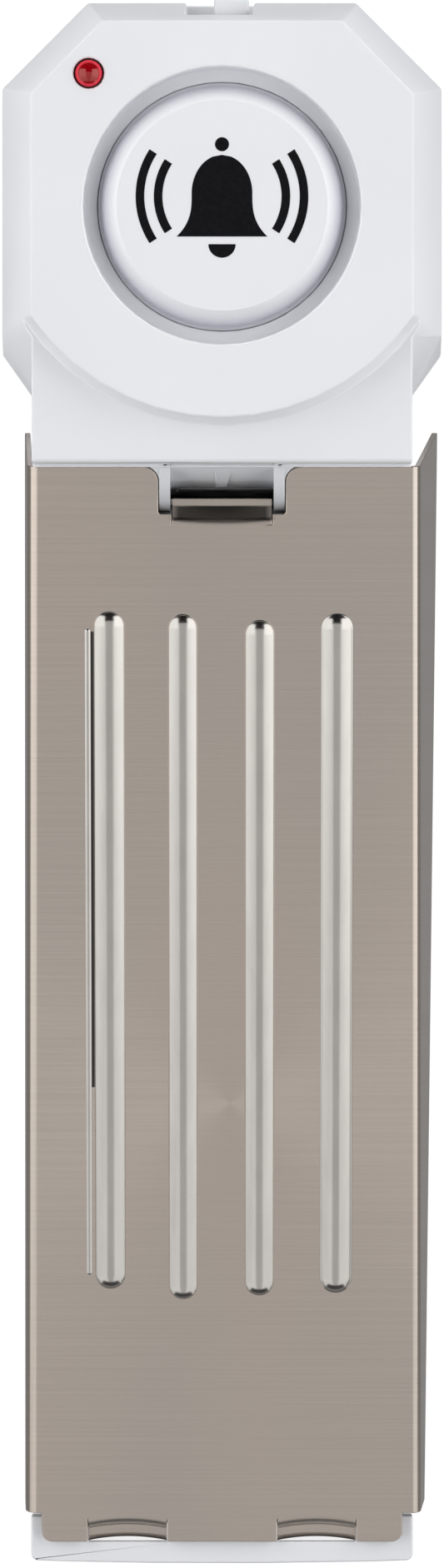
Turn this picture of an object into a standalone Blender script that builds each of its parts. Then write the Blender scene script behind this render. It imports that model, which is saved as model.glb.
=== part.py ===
"""Door stop alarm: a plastic wedge with a siren head, and a steel ramp plate that tips about its nose.

The frame is metres with +Z up, +Y towards the siren head and the origin on the floor under the middle.
A door pushes the plate down, its tongue works a snap switch in the throat, and the siren sounds.
"""

import math

import bmesh
import bpy
from mathutils import Vector

MM = 0.001
GAP = 0.3 * MM
OVERRUN = 2.0 * MM
OVERLAP = 1.0 * MM
WELD = 0.002 * MM

# Walls and counts that many pieces share
FLOOR_CLEAR = 0.8 * MM
WALL = 1.6 * MM
SHEET = 0.6 * MM
RIB = 1.2 * MM
DECK = 1.4 * MM
CORNER_MITRE = math.radians(22.5)
FRONT_MITRE = math.radians(27.5)
SMOOTH_ANGLE = math.radians(35.0)
ARC_STEPS = 14
ROLL_STEPS = 5
BEND_STEPS = 5
FOLD_STEPS = 4
ROUND_SIDES = 48
WELL_SIDES = 24
STUD_SIDES = 20
SCREW_SIDES = 16
SMALL_SIDES = 12
WIRE_SIDES = 8
HEX_SIDES = 6

# Battery, tray and door, from the floor up and from the middle out
DOOR_THICKNESS = 1.7 * MM
BATTERY_LIFT = 0.4 * MM
BATTERY_LENGTH = 46.4 * MM
BATTERY_WIDTH = 26.5 * MM
BATTERY_HEIGHT = 17.5 * MM
BATTERY_EDGE = 2.0 * MM
TRAY_WALL = 1.4 * MM
TRAY_ROOF = 1.3 * MM
TRAY_SIDE_CLEAR = 0.45 * MM
BAY_CLEAR = 1.5 * MM
BATTERY_BOTTOM_Z = FLOOR_CLEAR + DOOR_THICKNESS + BATTERY_LIFT
BATTERY_TOP_Z = BATTERY_BOTTOM_Z + BATTERY_HEIGHT
TRAY_TOP_Z = BATTERY_TOP_Z + GAP + TRAY_ROOF
TRAY_HALF_WIDTH = BATTERY_WIDTH / 2 + TRAY_SIDE_CLEAR + TRAY_WALL
WEDGE_HALF_WIDTH = TRAY_HALF_WIDTH + BAY_CLEAR + WALL

# Circuit board over the tray, and the room that its parts take
BOARD_STANDOFF = 1.3 * MM
BOARD_THICKNESS = 1.4 * MM
COIL_RADIUS = 4.0 * MM
COIL_WAIST = 3.0 * MM
COIL_HEIGHT = 3.5 * MM
COIL_FLANGE = 0.8 * MM
RING_CLEAR = 0.4 * MM
BOARD_BOTTOM_Z = TRAY_TOP_Z + BOARD_STANDOFF
BOARD_TOP_Z = BOARD_BOTTOM_Z + BOARD_THICKNESS
ON_BOARD_Z = BOARD_TOP_Z + GAP

# Siren cap in its round groove
CAP_RADIUS = 12.0 * MM
CAP_EDGE = 1.5 * MM
CAP_SKIRT = 1.2 * MM
CAP_TOP_WALL = 1.2 * MM
CAP_SLOT = 0.35 * MM
GROOVE_WIDTH = 1.8 * MM
GROOVE_SLANT = 0.8 * MM
GROOVE_DEPTH = 1.6 * MM
COLLAR_WALL = 1.7 * MM
LUG_REACH = 1.5 * MM
LUG_THICKNESS = 0.8 * MM
LUG_COUNT = 4
LUG_ANGLE = math.radians(26.0)
CAP_FLAT_RADIUS = CAP_RADIUS - CAP_EDGE
GROOVE_RADIUS = CAP_RADIUS + GROOVE_WIDTH
GROOVE_FLOOR_RADIUS = GROOVE_RADIUS - GROOVE_SLANT
COLLAR_RADIUS = GROOVE_RADIUS + COLLAR_WALL
LUG_INNER = CAP_RADIUS - LUG_REACH

# Sounder under the cap
RING_INSET = 1.1 * MM
RING_WALL = 1.5 * MM
RING_SEAT = 1.0 * MM
RING_HEIGHT = 2.4 * MM
RING_LIP_THICKNESS = 0.7 * MM
PIEZO_THICKNESS = 0.3 * MM
CERAMIC_MARGIN = 3.4 * MM
CERAMIC_THICKNESS = 0.25 * MM
RING_OUTER = COLLAR_RADIUS - RING_INSET
RING_INNER = RING_OUTER - RING_WALL
RING_LIP = RING_INNER - RING_SEAT
PIEZO_RADIUS = RING_INNER - GAP
CERAMIC_RADIUS = PIEZO_RADIUS - CERAMIC_MARGIN

# Heights of the head, stacked on the board
CAVITY_DEPTH = 1.8 * MM
ROOF = 1.9 * MM
SHOULDER_DROP = 2.0 * MM
FACET_HEIGHT = 8.3 * MM
PLATE_STEP = 4.3 * MM
RING_BOTTOM_Z = ON_BOARD_Z + COIL_HEIGHT + RING_CLEAR
RING_LIP_Z = RING_BOTTOM_Z + RING_LIP_THICKNESS
COLLAR_BOTTOM_Z = RING_BOTTOM_Z + RING_HEIGHT + GAP
LUG_TOP_Z = COLLAR_BOTTOM_Z + LUG_THICKNESS
CAP_BOTTOM_Z = LUG_TOP_Z + GAP
CAVITY_ROOF_Z = COLLAR_BOTTOM_Z + CAVITY_DEPTH
HEAD_HEIGHT = CAVITY_ROOF_Z + ROOF
SHOULDER_Z = HEAD_HEIGHT - SHOULDER_DROP
FACET_Z = HEAD_HEIGHT - FACET_HEIGHT
PLATE_TALL_Z = SHOULDER_Z - PLATE_STEP

# Places along the body, from the nose and from the plate's tall end
NOSE_END_Y = -79.2 * MM
PLATE_TALL_Y = 32.2 * MM
NECK_GAP = 0.25 * MM
PLATEAU_SETBACK = 4.45 * MM
CAP_FRONT_MARGIN = 5.5 * MM
CAP_REAR_MARGIN = 5.8 * MM
NECK_FRONT_Y = PLATE_TALL_Y + NECK_GAP
PLATEAU_FRONT_Y = NECK_FRONT_Y + PLATEAU_SETBACK
CAP_Y = PLATEAU_FRONT_Y + CAP_FRONT_MARGIN + COLLAR_RADIUS
REAR_Y = CAP_Y + COLLAR_RADIUS + CAP_REAR_MARGIN

# Nose
NOSE_BOW = 0.3 * MM
NOSE_SPREAD = 1.3 * MM
NOSE_CORNER = 0.7 * MM
NOSE_LENGTH = 4.9 * MM
NOSE_HALF_WIDTH = WEDGE_HALF_WIDTH + NOSE_SPREAD
NOSE_BACK_Y = NOSE_END_Y + NOSE_LENGTH

# Head outlines: plateau on top, then the foot of the facets, then the floor
NECK_SPREAD = 0.7 * MM
PLATEAU_SPREAD = 0.08 * MM
PLATEAU_CORNER_WIDTH = 7.08 * MM
PLATEAU_CORNER_LENGTH = 7.25 * MM
PLATEAU_REAR_SETBACK = 3.0 * MM
PLATEAU_ARC_EXCESS = 3.92 * MM
FACET_SPREAD = 2.96 * MM
FACET_REAR_SPREAD = 1.5 * MM
FACET_REAR_SETBACK = 0.6 * MM
FACET_CORNER_LENGTH = 8.6 * MM
DRAFT = 0.5 * MM
DRAFT_REAR_SPREAD = 0.3 * MM
DRAFT_CORNER_LENGTH = 8.8 * MM
DRAFT_FRONT_LEAD = 0.9 * MM
FRONT_MARGIN = 0.69 * MM
FACET_FRONT_LEAD = 0.68 * MM
SHOULDER_CHAMFER = 1.18 * MM
FACET_CHAMFER = 4.55 * MM
DRAFT_CHAMFER = 5.0 * MM
NECK_HALF_WIDTH = WEDGE_HALF_WIDTH + NECK_SPREAD
PLATEAU_HALF_WIDTH = NECK_HALF_WIDTH + PLATEAU_SPREAD
PLATEAU_REAR_HALF = PLATEAU_HALF_WIDTH - PLATEAU_CORNER_WIDTH
PLATEAU_REAR_Y = REAR_Y - PLATEAU_REAR_SETBACK
PLATEAU_CORNER_Y = PLATEAU_REAR_Y - PLATEAU_CORNER_LENGTH
PLATEAU_ARC_RADIUS = PLATEAU_HALF_WIDTH + PLATEAU_ARC_EXCESS
PLATEAU_ARC_Y = PLATEAU_FRONT_Y + PLATEAU_ARC_RADIUS
FACET_HALF_WIDTH = PLATEAU_HALF_WIDTH + FACET_SPREAD
FACET_REAR_HALF = PLATEAU_REAR_HALF + FACET_REAR_SPREAD
FACET_REAR_Y = REAR_Y - FACET_REAR_SETBACK
FACET_CORNER_Y = FACET_REAR_Y - FACET_CORNER_LENGTH
FLOOR_HALF_WIDTH = FACET_HALF_WIDTH + DRAFT
DRAFT_REAR_HALF = FACET_REAR_HALF + DRAFT_REAR_SPREAD
DRAFT_CORNER_Y = REAR_Y - DRAFT_CORNER_LENGTH
SHOULDER_SHARE = SHOULDER_DROP / FACET_HEIGHT
SHOULDER_HALF_WIDTH = PLATEAU_HALF_WIDTH + FACET_SPREAD * SHOULDER_SHARE
SHOULDER_ARC_RADIUS = PLATEAU_ARC_RADIUS + FACET_SPREAD * SHOULDER_SHARE
ARC_END_Y = PLATEAU_ARC_Y - math.sqrt(SHOULDER_ARC_RADIUS**2 - SHOULDER_HALF_WIDTH**2)
SHOULDER_FRONT_Y = ARC_END_Y - FRONT_MARGIN
FACET_FRONT_Y = SHOULDER_FRONT_Y - FACET_FRONT_LEAD
DRAFT_FRONT_Y = FACET_FRONT_Y - DRAFT_FRONT_LEAD
SHOULDER_NECK_Y = SHOULDER_FRONT_Y - SHOULDER_CHAMFER
FACET_NECK_Y = FACET_FRONT_Y - FACET_CHAMFER
DRAFT_NECK_Y = DRAFT_FRONT_Y - DRAFT_CHAMFER

# Neck between the head and the plate
NECK_ROLL = 2.2 * MM
NECK_UNDERCUT = 0.95 * MM
NECK_UNDERCUT_Y = NECK_FRONT_Y + NECK_UNDERCUT

# Steel plate, in its own frame: u runs up the slope from the hinge axis, w stands square to the sheet
HINGE_SETBACK = 3.4 * MM
HINGE_Z = 3.6 * MM
PLATE_LOW_SETBACK = 2.3 * MM
PLATE_LOW_Z = 5.2 * MM
PRESS_ANGLE = math.radians(1.6)
PLATE_SIDE_CLEAR = 0.6 * MM
PLATE_LOW_SPREAD = 0.55 * MM
PLATE_END_SPREAD = 0.2 * MM
PLATE_END_CORNER = 1.1 * MM
FOLD_RADIUS = 1.4 * MM
FLANGE_TALL = 19.0 * MM
FLANGE_LOW = 4.8 * MM
FLANGE_START = 2.3 * MM
FLANGE_FLARE_LEFT = math.radians(2.0)
FLANGE_FLARE_RIGHT = math.radians(6.7)
PLATE_RUNNING_GAP = 0.35 * MM
HINGE_Y = NOSE_END_Y + HINGE_SETBACK
PLATE_LOW_Y = NOSE_END_Y + PLATE_LOW_SETBACK
PLATE_HALF_TALL = WEDGE_HALF_WIDTH + PLATE_SIDE_CLEAR + SHEET
PLATE_HALF_LOW = PLATE_HALF_TALL + PLATE_LOW_SPREAD
PLATE_END_HALF_WIDTH = WEDGE_HALF_WIDTH + PLATE_END_SPREAD

BEAD_CENTRES = (-11.5 * MM, -3.95 * MM, 3.7 * MM, 11.35 * MM)
BEAD_HALF_WIDTH = 1.65 * MM
BEAD_HEIGHT = 0.8 * MM
BEAD_LOW_MARGIN = 29.6 * MM
BEAD_TALL_MARGIN = 16.25 * MM
BEAD_SHARES = (-1.0, -0.7, -0.35, 0.0, 0.35, 0.7, 1.0)
BEAD_LOW_Y = NOSE_END_Y + BEAD_LOW_MARGIN
BEAD_TALL_Y = PLATE_TALL_Y - BEAD_TALL_MARGIN

NOTCH_DEPTH = 4.8 * MM
NOTCH_MOUTH = 1.6 * MM
TONGUE_HALF_WIDTH = 5.0 * MM
TONGUE_SIDE_GAP = 0.15 * MM
TONGUE_OVERLAP = 1.6 * MM
TONGUE_RADIUS = 0.94 * MM
TONGUE_BEND_SETBACK = 5.22 * MM
TONGUE_DROP = 6.1 * MM
TONGUE_FOOT_RADIUS = 0.5 * MM
TONGUE_FOOT_SETBACK = 3.3 * MM
TONGUE_BEND_Y = PLATE_TALL_Y - TONGUE_BEND_SETBACK
TONGUE_FOOT_Z = PLATE_TALL_Z - TONGUE_DROP
TONGUE_FOOT_TIP_Y = PLATE_TALL_Y - TONGUE_FOOT_SETBACK

HOOK_CENTRE = 9.65 * MM
HOOK_HALF_WIDTH = 3.75 * MM
HOOK_RADIUS = 1.2 * MM
HOOK_START = 1.1 * MM
HOOK_RELIEF = 0.35 * MM
HOOK_OVERLAP = 1.2 * MM
HOOK_FOOT_Z = 1.7 * MM
HOOK_FOOT_RADIUS = 0.6 * MM
HOOK_FOOT_SETBACK = 1.3 * MM
HOOK_POCKET_TOP = 2.9 * MM
HOOK_POCKET_SETBACK = 0.9 * MM
HOOK_SLOT_LENGTH = 2.0 * MM
HOOK_FOOT_TIP_Y = NOSE_END_Y + HOOK_FOOT_SETBACK
HOOK_POCKET_Y = NOSE_END_Y + HOOK_POCKET_SETBACK
HOOK_SLOT_FRONT_Y = PLATE_LOW_Y
HOOK_SLOT_BACK_Y = HOOK_SLOT_FRONT_Y + HOOK_SLOT_LENGTH

# Battery's place, its terminals and the snap connector
BATTERY_REAR_SETBACK = 3.0 * MM
TERMINAL_HEIGHT = 2.1 * MM
TERMINAL_SPACING = 12.7 * MM
STUD_RADIUS = 2.85 * MM
SOCKET_RADIUS = 4.0 * MM
CONNECTOR_HALF_WIDTH = 12.0 * MM
CONNECTOR_THICKNESS = 1.6 * MM
CONNECTOR_DROP = 5.65 * MM
CONNECTOR_RISE = 4.75 * MM
BATTERY_REAR_Y = REAR_Y - BATTERY_REAR_SETBACK
BATTERY_FRONT_Y = BATTERY_REAR_Y - BATTERY_LENGTH
TERMINAL_TIP_Y = BATTERY_FRONT_Y - TERMINAL_HEIGHT
TERMINAL_Z = BATTERY_BOTTOM_Z + BATTERY_HEIGHT / 2
CONNECTOR_BOTTOM_Z = TERMINAL_Z - CONNECTOR_DROP
CONNECTOR_TOP_Z = TERMINAL_Z + CONNECTOR_RISE

# Wedge under the plate
SKIRT_SPREAD = 0.8 * MM
SKIRT_SETBACK = 27.2 * MM
SKIRT_GAP = 0.45 * MM
TRIGGER_LENGTH = 12.2 * MM
TRIGGER_REAR_CLEAR = 0.7 * MM
BAY_FRONT_MARGIN = 1.4 * MM
BAY_BACK_REACH = 3.8 * MM
CELL_SETBACK = 15.2 * MM
CELL_ROWS = 6
CELL_COLUMNS = 3
POCKET_TOP_DROP = 0.4 * MM
POCKET_END_MARGIN = 1.15 * MM
POCKET_SINK = 0.1 * MM
SKIRT_HALF_WIDTH = WEDGE_HALF_WIDTH + SKIRT_SPREAD
SKIRT_START_Y = NOSE_END_Y + SKIRT_SETBACK
TRIGGER_BACK_Y = TERMINAL_TIP_Y - GAP - CONNECTOR_THICKNESS - TRIGGER_REAR_CLEAR
TRIGGER_FRONT_Y = TRIGGER_BACK_Y - TRIGGER_LENGTH
BAY_FRONT_Y = TRIGGER_FRONT_Y - BAY_FRONT_MARGIN
BAY_BACK_Y = PLATE_TALL_Y + BAY_BACK_REACH
CELL_START_Y = NOSE_END_Y + CELL_SETBACK
POCKET_TOP_Z = PLATE_TALL_Z - POCKET_TOP_DROP

# Throat behind the plate's notch
THROAT_FRONT_SETBACK = 7.8 * MM
THROAT_BACK_SETBACK = 1.9 * MM
THROAT_RIB_HALF_TOP = 0.9 * MM
THROAT_RIB_HALF_FOOT = 0.5 * MM
THROAT_RIB_DEPTH = 0.4 * MM
RAMP_FOOT_SETBACK = 3.6 * MM
RAMP_WIDTH = 0.85 * MM
NOTCH_SIDE_GAP = 0.35 * MM
STRIP_X = -4.5 * MM
STRIP_WIDTH = 0.5 * MM
STRIP_LEAD = 0.55 * MM
STRIP_DROP = 1.9 * MM
THROAT_HALF_WIDTH = TONGUE_HALF_WIDTH + TONGUE_SIDE_GAP
THROAT_FRONT_Y = PLATE_TALL_Y - THROAT_FRONT_SETBACK
THROAT_BACK_Y = PLATE_TALL_Y - THROAT_BACK_SETBACK
RAMP_FOOT_Y = PLATE_TALL_Y - RAMP_FOOT_SETBACK
RAMP_OUTER = THROAT_HALF_WIDTH + RAMP_WIDTH
NOTCH_HALF_WIDTH = RAMP_OUTER + NOTCH_SIDE_GAP
STRIP_FRONT_Y = THROAT_BACK_Y - STRIP_LEAD
STRIP_FOOT_Z = TONGUE_FOOT_Z - STRIP_DROP

# Circuit board outline and what stands on it
BOARD_EDGE = 0.1 * MM
BOARD_FRONT_SETBACK = 4.1 * MM
BOARD_REAR_SETBACK = 4.1 * MM
BOARD_CORNER = 3.5 * MM
BOARD_SCREW_INSET = 3.0 * MM
BOARD_SCREW_LENGTH = 2.6 * MM
BOARD_HALF_WIDTH = TRAY_HALF_WIDTH - BOARD_EDGE
BOARD_FRONT_Y = NECK_UNDERCUT_Y + BOARD_FRONT_SETBACK
BOARD_REAR_Y = REAR_Y - BOARD_REAR_SETBACK
BOARD_SCREW_X = BOARD_HALF_WIDTH - BOARD_SCREW_INSET
BOARD_SCREW_Y = BOARD_FRONT_Y + BOARD_SCREW_INSET
CHIP_OFFSET = (-4.0 * MM, -5.9 * MM)
CHIP_SIZE = (9.6 * MM, 6.4 * MM, 3.3 * MM)
CHIP_NOTCH = 0.9 * MM
COIL_OFFSET = (7.5 * MM, -3.4 * MM)
CAPACITOR_X = 3.5 * MM
CAPACITOR_SETBACK = 2.8 * MM
CAPACITOR_RADIUS = 2.5 * MM
CAPACITOR_HEIGHT = 5.4 * MM
TRANSISTOR_OFFSET = (-7.0 * MM, 4.1 * MM)
TRANSISTOR_RADIUS = 2.3 * MM
TRANSISTOR_FLAT = 1.2 * MM
TRANSISTOR_HEIGHT = 3.8 * MM
RESISTOR_OFFSETS = ((-10.5 * MM, -11.4 * MM), (6.0 * MM, 6.1 * MM))
RESISTOR_RADIUS = 0.9 * MM
RESISTOR_LENGTH = 6.0 * MM

# Indicator
LED_INSET = 1.8 * MM
LED_REAR_SETBACK = 8.2 * MM
LED_RADIUS = 1.5 * MM
LED_RIM_WIDTH = 0.4 * MM
LED_RIM = 1.0 * MM
LED_TIP_RISE = 0.6 * MM
LED_LEAD_SPACING = 1.27 * MM
LED_LEAD_RADIUS = 0.25 * MM
LED_X = LED_INSET - BOARD_HALF_WIDTH
LED_Y = REAR_Y - LED_REAR_SETBACK
LED_RIM_RADIUS = LED_RADIUS + LED_RIM_WIDTH
LED_HOLE_RADIUS = LED_RADIUS + GAP
LED_SEAT_RADIUS = LED_RIM_RADIUS + GAP

# Slide switch in the rear wall
RECESS_LEFT = -3.57 * MM
RECESS_RIGHT = 3.22 * MM
RECESS_DEPTH = 2.2 * MM
RECESS_DROP = 0.8 * MM
KNOB_LEFT = -0.8 * MM
KNOB_RIGHT = 2.7 * MM
KNOB_TIP_SETBACK = 0.3 * MM
KNOB_ROOT_SETBACK = 5.8 * MM
KNOB_CORNER = 0.4 * MM
KNOB_LIFT = 1.0 * MM
KNOB_HEIGHT = 3.4 * MM
KNOB_TRAVEL = 2.4 * MM
SWITCH_END = 1.3 * MM
SWITCH_FRONT_SETBACK = 6.6 * MM
SWITCH_BACK_SETBACK = 3.9 * MM
SWITCH_ROOF = 1.2 * MM
UPPER_REAR_SETBACK = 3.5 * MM
RECESS_Y = REAR_Y - RECESS_DEPTH
RECESS_BOTTOM_Z = BOARD_BOTTOM_Z - RECESS_DROP
KNOB_TIP_Y = REAR_Y - KNOB_TIP_SETBACK
KNOB_ROOT_Y = REAR_Y - KNOB_ROOT_SETBACK
KNOB_BOTTOM_Z = ON_BOARD_Z + KNOB_LIFT
KNOB_TOP_Z = KNOB_BOTTOM_Z + KNOB_HEIGHT
SWITCH_FRONT_Y = REAR_Y - SWITCH_FRONT_SETBACK
SWITCH_BACK_Y = REAR_Y - SWITCH_BACK_SETBACK
SWITCH_TOP_Z = KNOB_TOP_Z + SWITCH_ROOF
UPPER_REAR_Y = REAR_Y - UPPER_REAR_SETBACK

# Base plate and the sliding door behind it
BASE_INSET = 1.2 * MM
BASE_FRONT_SETBACK = 8.0 * MM
BASE_BACK_SETBACK = 3.2 * MM
BASE_THICKNESS = 1.8 * MM
DOOR_INSET = 2.0 * MM
DOOR_FRONT_GAP = 0.4 * MM
DOOR_REAR_SETBACK = 0.2 * MM
DOOR_TONGUE = 0.8 * MM
DOOR_TONGUE_THICKNESS = 0.7 * MM
DOOR_TONGUE_FRONT_LEAD = 1.15 * MM
DOOR_TONGUE_REAR_LEAD = 0.4 * MM
DOOR_GRIP_RIBS = 5
DOOR_GRIP_SETBACK = 8.0 * MM
DOOR_GRIP_PITCH = 1.4 * MM
DOOR_GRIP_WIDTH = 0.7 * MM
DOOR_GRIP_HALF_LENGTH = 6.0 * MM
DOOR_GRIP_DEPTH = 0.5 * MM
BASE_HALF_WIDTH = WEDGE_HALF_WIDTH - BASE_INSET
BASE_FRONT_Y = NOSE_END_Y + BASE_FRONT_SETBACK
BASE_BACK_Y = BATTERY_FRONT_Y - BASE_BACK_SETBACK
BASE_TOP_Z = FLOOR_CLEAR + BASE_THICKNESS
DOOR_HALF_WIDTH = WEDGE_HALF_WIDTH - DOOR_INSET
DOOR_FRONT_Y = BASE_BACK_Y + DOOR_FRONT_GAP
DOOR_REAR_Y = REAR_Y - DOOR_REAR_SETBACK
DOOR_TONGUE_FRONT_Y = FACET_NECK_Y + DOOR_TONGUE_FRONT_LEAD
DOOR_TONGUE_REAR_Y = DRAFT_CORNER_Y - DOOR_TONGUE_REAR_LEAD
DOOR_GRIP_Y = DOOR_REAR_Y - DOOR_GRIP_SETBACK

# Tray flanges and the rails that guide the door
TRAY_FRONT_REACH = 2.4 * MM
TRAY_REAR_SETBACK = 5.0 * MM
FLANGE_SIDE_CLEAR = 0.44 * MM
FLANGE_FRONT_LEAD = 0.4 * MM
FLANGE_REAR_LEAD = 1.0 * MM
FLANGE_REAR_SPREAD = 1.8 * MM
FLANGE_THICKNESS = 1.8 * MM
RAIL_WALL = 1.3 * MM
RAIL_LIP = 0.7 * MM
RAIL_MARGIN_FRONT = 2.6 * MM
RAIL_MARGIN_REAR = 2.4 * MM
TRAY_SCREW_INSET = 1.6 * MM
TRAY_SCREW_FRONT_LEAD = 2.2 * MM
TRAY_SCREW_REAR_LEAD = 3.8 * MM
TRAY_BOSS_HEIGHT = 9.4 * MM
TRAY_FRONT_Y = PLATE_TALL_Y + TRAY_FRONT_REACH
TRAY_REAR_Y = REAR_Y - TRAY_REAR_SETBACK
FLANGE_SIDE = FLOOR_HALF_WIDTH - WALL - FLANGE_SIDE_CLEAR
FLANGE_OUTLINE = (
    (WEDGE_HALF_WIDTH - WALL - GAP, FACET_NECK_Y + DOOR_TONGUE_FRONT_LEAD),
    (FLANGE_SIDE, FACET_FRONT_Y + FLANGE_FRONT_LEAD),
    (FLANGE_SIDE, DRAFT_CORNER_Y - FLANGE_REAR_LEAD),
    (DRAFT_REAR_HALF + FLANGE_REAR_SPREAD, TRAY_REAR_Y),
)
FLANGE_BOTTOM_Z = FLOOR_CLEAR + DOOR_THICKNESS + GAP
FLANGE_TOP_Z = FLANGE_BOTTOM_Z + FLANGE_THICKNESS
RAIL_INNER = DOOR_HALF_WIDTH + GAP
RAIL_GROOVE = DOOR_HALF_WIDTH + DOOR_TONGUE + GAP
RAIL_OUTER = RAIL_GROOVE + RAIL_WALL
TRAY_SCREW_X = FLANGE_SIDE - TRAY_SCREW_INSET
TRAY_SCREW_FRONT_Y = FACET_FRONT_Y + TRAY_SCREW_FRONT_LEAD
TRAY_SCREW_REAR_Y = DRAFT_CORNER_Y - TRAY_SCREW_REAR_LEAD
TRAY_BOSS_TOP_Z = FLANGE_TOP_Z + TRAY_BOSS_HEIGHT
RAIL_FRONT_Y = TRAY_SCREW_FRONT_Y + RAIL_MARGIN_FRONT
RAIL_REAR_Y = TRAY_SCREW_REAR_Y - RAIL_MARGIN_REAR

# Rubber pads, and the screws between and behind them
BASE_SCREW_MARGIN = 4.0 * MM
BASE_SCREW_BACK_MARGIN = 2.3 * MM
GRIP_THICKNESS = 1.1 * MM
GRIP_POCKET = 0.6 * MM
GRIP_INSET = 3.0 * MM
FRONT_GRIP_SETBACK = 11.2 * MM
FRONT_GRIP_LENGTH = 30.0 * MM
MIDDLE_GRIP_GAP = 8.0 * MM
MIDDLE_GRIP_MARGIN = 3.2 * MM
DOOR_PAD_INSET = 3.7 * MM
DOOR_PAD_FRONT_SETBACK = 5.0 * MM
DOOR_PAD_REAR_SETBACK = 13.0 * MM
GRIP_HALF_WIDTH = BASE_HALF_WIDTH - GRIP_INSET
FRONT_GRIP_Y = NOSE_END_Y + FRONT_GRIP_SETBACK
FRONT_GRIP_END_Y = FRONT_GRIP_Y + FRONT_GRIP_LENGTH
MIDDLE_GRIP_Y = FRONT_GRIP_END_Y + MIDDLE_GRIP_GAP
BASE_SCREW_FRONT_Y = FRONT_GRIP_END_Y + BASE_SCREW_MARGIN
BASE_SCREW_BACK_Y = BAY_FRONT_Y - BASE_SCREW_BACK_MARGIN
FRONT_GRIP = (GRIP_HALF_WIDTH, FRONT_GRIP_Y, FRONT_GRIP_END_Y)
MIDDLE_GRIP = (GRIP_HALF_WIDTH, MIDDLE_GRIP_Y, BASE_SCREW_BACK_Y - MIDDLE_GRIP_MARGIN)
DOOR_GRIP_PAD = (
    DOOR_HALF_WIDTH - DOOR_PAD_INSET,
    DOOR_FRONT_Y + DOOR_PAD_FRONT_SETBACK,
    DOOR_REAR_Y - DOOR_PAD_REAR_SETBACK,
)

# Fasteners
SCREW_SHANK = 0.8 * MM
SCREW_HEAD = 1.5 * MM
SCREW_HEAD_HEIGHT = 0.75 * MM
COUNTERBORE = 1.15 * MM
SCREW_LENGTH = 6.5 * MM
SCREW_DRIVE = 0.7 * MM
SCREW_DRIVE_DEPTH = 0.45 * MM
BOSS_RADIUS = 2.3 * MM
BASE_SCREW_INSET = 2.4 * MM
BASE_SCREW_X = BASE_HALF_WIDTH - BASE_SCREW_INSET

# Snap switch under the tongue
TRIGGER_HALF_WIDTH = 2.9 * MM
TRIGGER_HEIGHT = 6.3 * MM
LEVER_INSET = 1.3 * MM
LEVER_DROP = 4.7 * MM
LEVER_LIFT = 0.9 * MM
LEVER_HALF_WIDTH = 2.1 * MM
LEVER_THICKNESS = 0.4 * MM
LEVER_EYE = 0.55 * MM
LEVER_TIP_SETBACK = 3.5 * MM
LEVER_TOUCH_GAP = 0.35 * MM
BUTTON_REACH = 4.2 * MM
BUTTON_RADIUS = 0.8 * MM
BUTTON_DEPTH = 1.1 * MM
BUTTON_TRAVEL = 0.9 * MM
CRADLE_WALL = 1.0 * MM
CRADLE_GRIP = 3.0 * MM
CRADLE_LENGTH = 12.3 * MM
LEVER_PIVOT_Y = TRIGGER_FRONT_Y + LEVER_INSET
LEVER_PIVOT_Z = TONGUE_FOOT_Z - LEVER_DROP
LEVER_TIP_Y = PLATE_TALL_Y - LEVER_TIP_SETBACK
TRIGGER_TOP_Z = LEVER_PIVOT_Z - LEVER_LIFT
TRIGGER_BOTTOM_Z = TRIGGER_TOP_Z - TRIGGER_HEIGHT
BUTTON_Y = LEVER_PIVOT_Y + BUTTON_REACH
BUTTON_BOTTOM_Z = TRIGGER_TOP_Z - BUTTON_DEPTH
CRADLE_GRIP_Z = TRIGGER_BOTTOM_Z + CRADLE_GRIP
CRADLE_FRONT_Y = TRIGGER_FRONT_Y - GAP
CRADLE_BACK_Y = CRADLE_FRONT_Y + CRADLE_LENGTH

# Return springs
SPRING_X = 11.0 * MM
SPRING_SETBACK = 9.3 * MM
SPRING_RADIUS = 2.6 * MM
SPRING_WIRE = 0.3 * MM
SPRING_DROP = 17.0 * MM
SPRING_TURNS = 7
SPRING_END_TURNS = 1
SPRING_END_PITCH = 1.1 * MM
SPRING_STEPS = 10
WELL_CLEAR = 0.6 * MM
WELL_WALL = 1.1 * MM
WELL_FLOOR = 1.3 * MM
SPRING_Y = BATTERY_FRONT_Y - SPRING_SETBACK
SPRING_BOTTOM_Z = PLATE_TALL_Z - SPRING_DROP
WELL_BORE = SPRING_RADIUS + SPRING_WIRE + WELL_CLEAR

# Leads: x, y from the plate's tall end, and the shares of the way up from their foot to the board
WIRE_RADIUS = 0.45 * MM
BATTERY_WIRE_X = 8.0 * MM
BATTERY_WIRE_ROUTE = (
    (0.0 * MM, -5.6 * MM),
    (0.0 * MM, -5.3 * MM),
    (0.1 * MM, -3.2 * MM),
    (0.3 * MM, -0.2 * MM),
    (0.5 * MM, 2.1 * MM),
    (0.7 * MM, 3.7 * MM),
    (0.9 * MM, 4.7 * MM),
    (1.0 * MM, 6.4 * MM),
    (1.0 * MM, 7.6 * MM),
)
BATTERY_WIRE_RISE_SHARES = (0.0482, 0.3133, 0.5783, 0.6867, 0.7831, 0.9518, 1.1325, 1.1446, 1.0964)
TRIGGER_WIRE_RADIUS = 0.35 * MM
TRIGGER_WIRE_ROUTE = (
    (-3.6 * MM, -10.7 * MM),
    (-4.6 * MM, -9.0 * MM),
    (-6.2 * MM, -6.0 * MM),
    (-6.5 * MM, -3.2 * MM),
    (-6.5 * MM, -0.2 * MM),
    (-6.5 * MM, 2.1 * MM),
    (-6.5 * MM, 3.7 * MM),
    (-6.5 * MM, 4.7 * MM),
    (-6.5 * MM, 6.4 * MM),
    (-6.5 * MM, 7.6 * MM),
)
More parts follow.
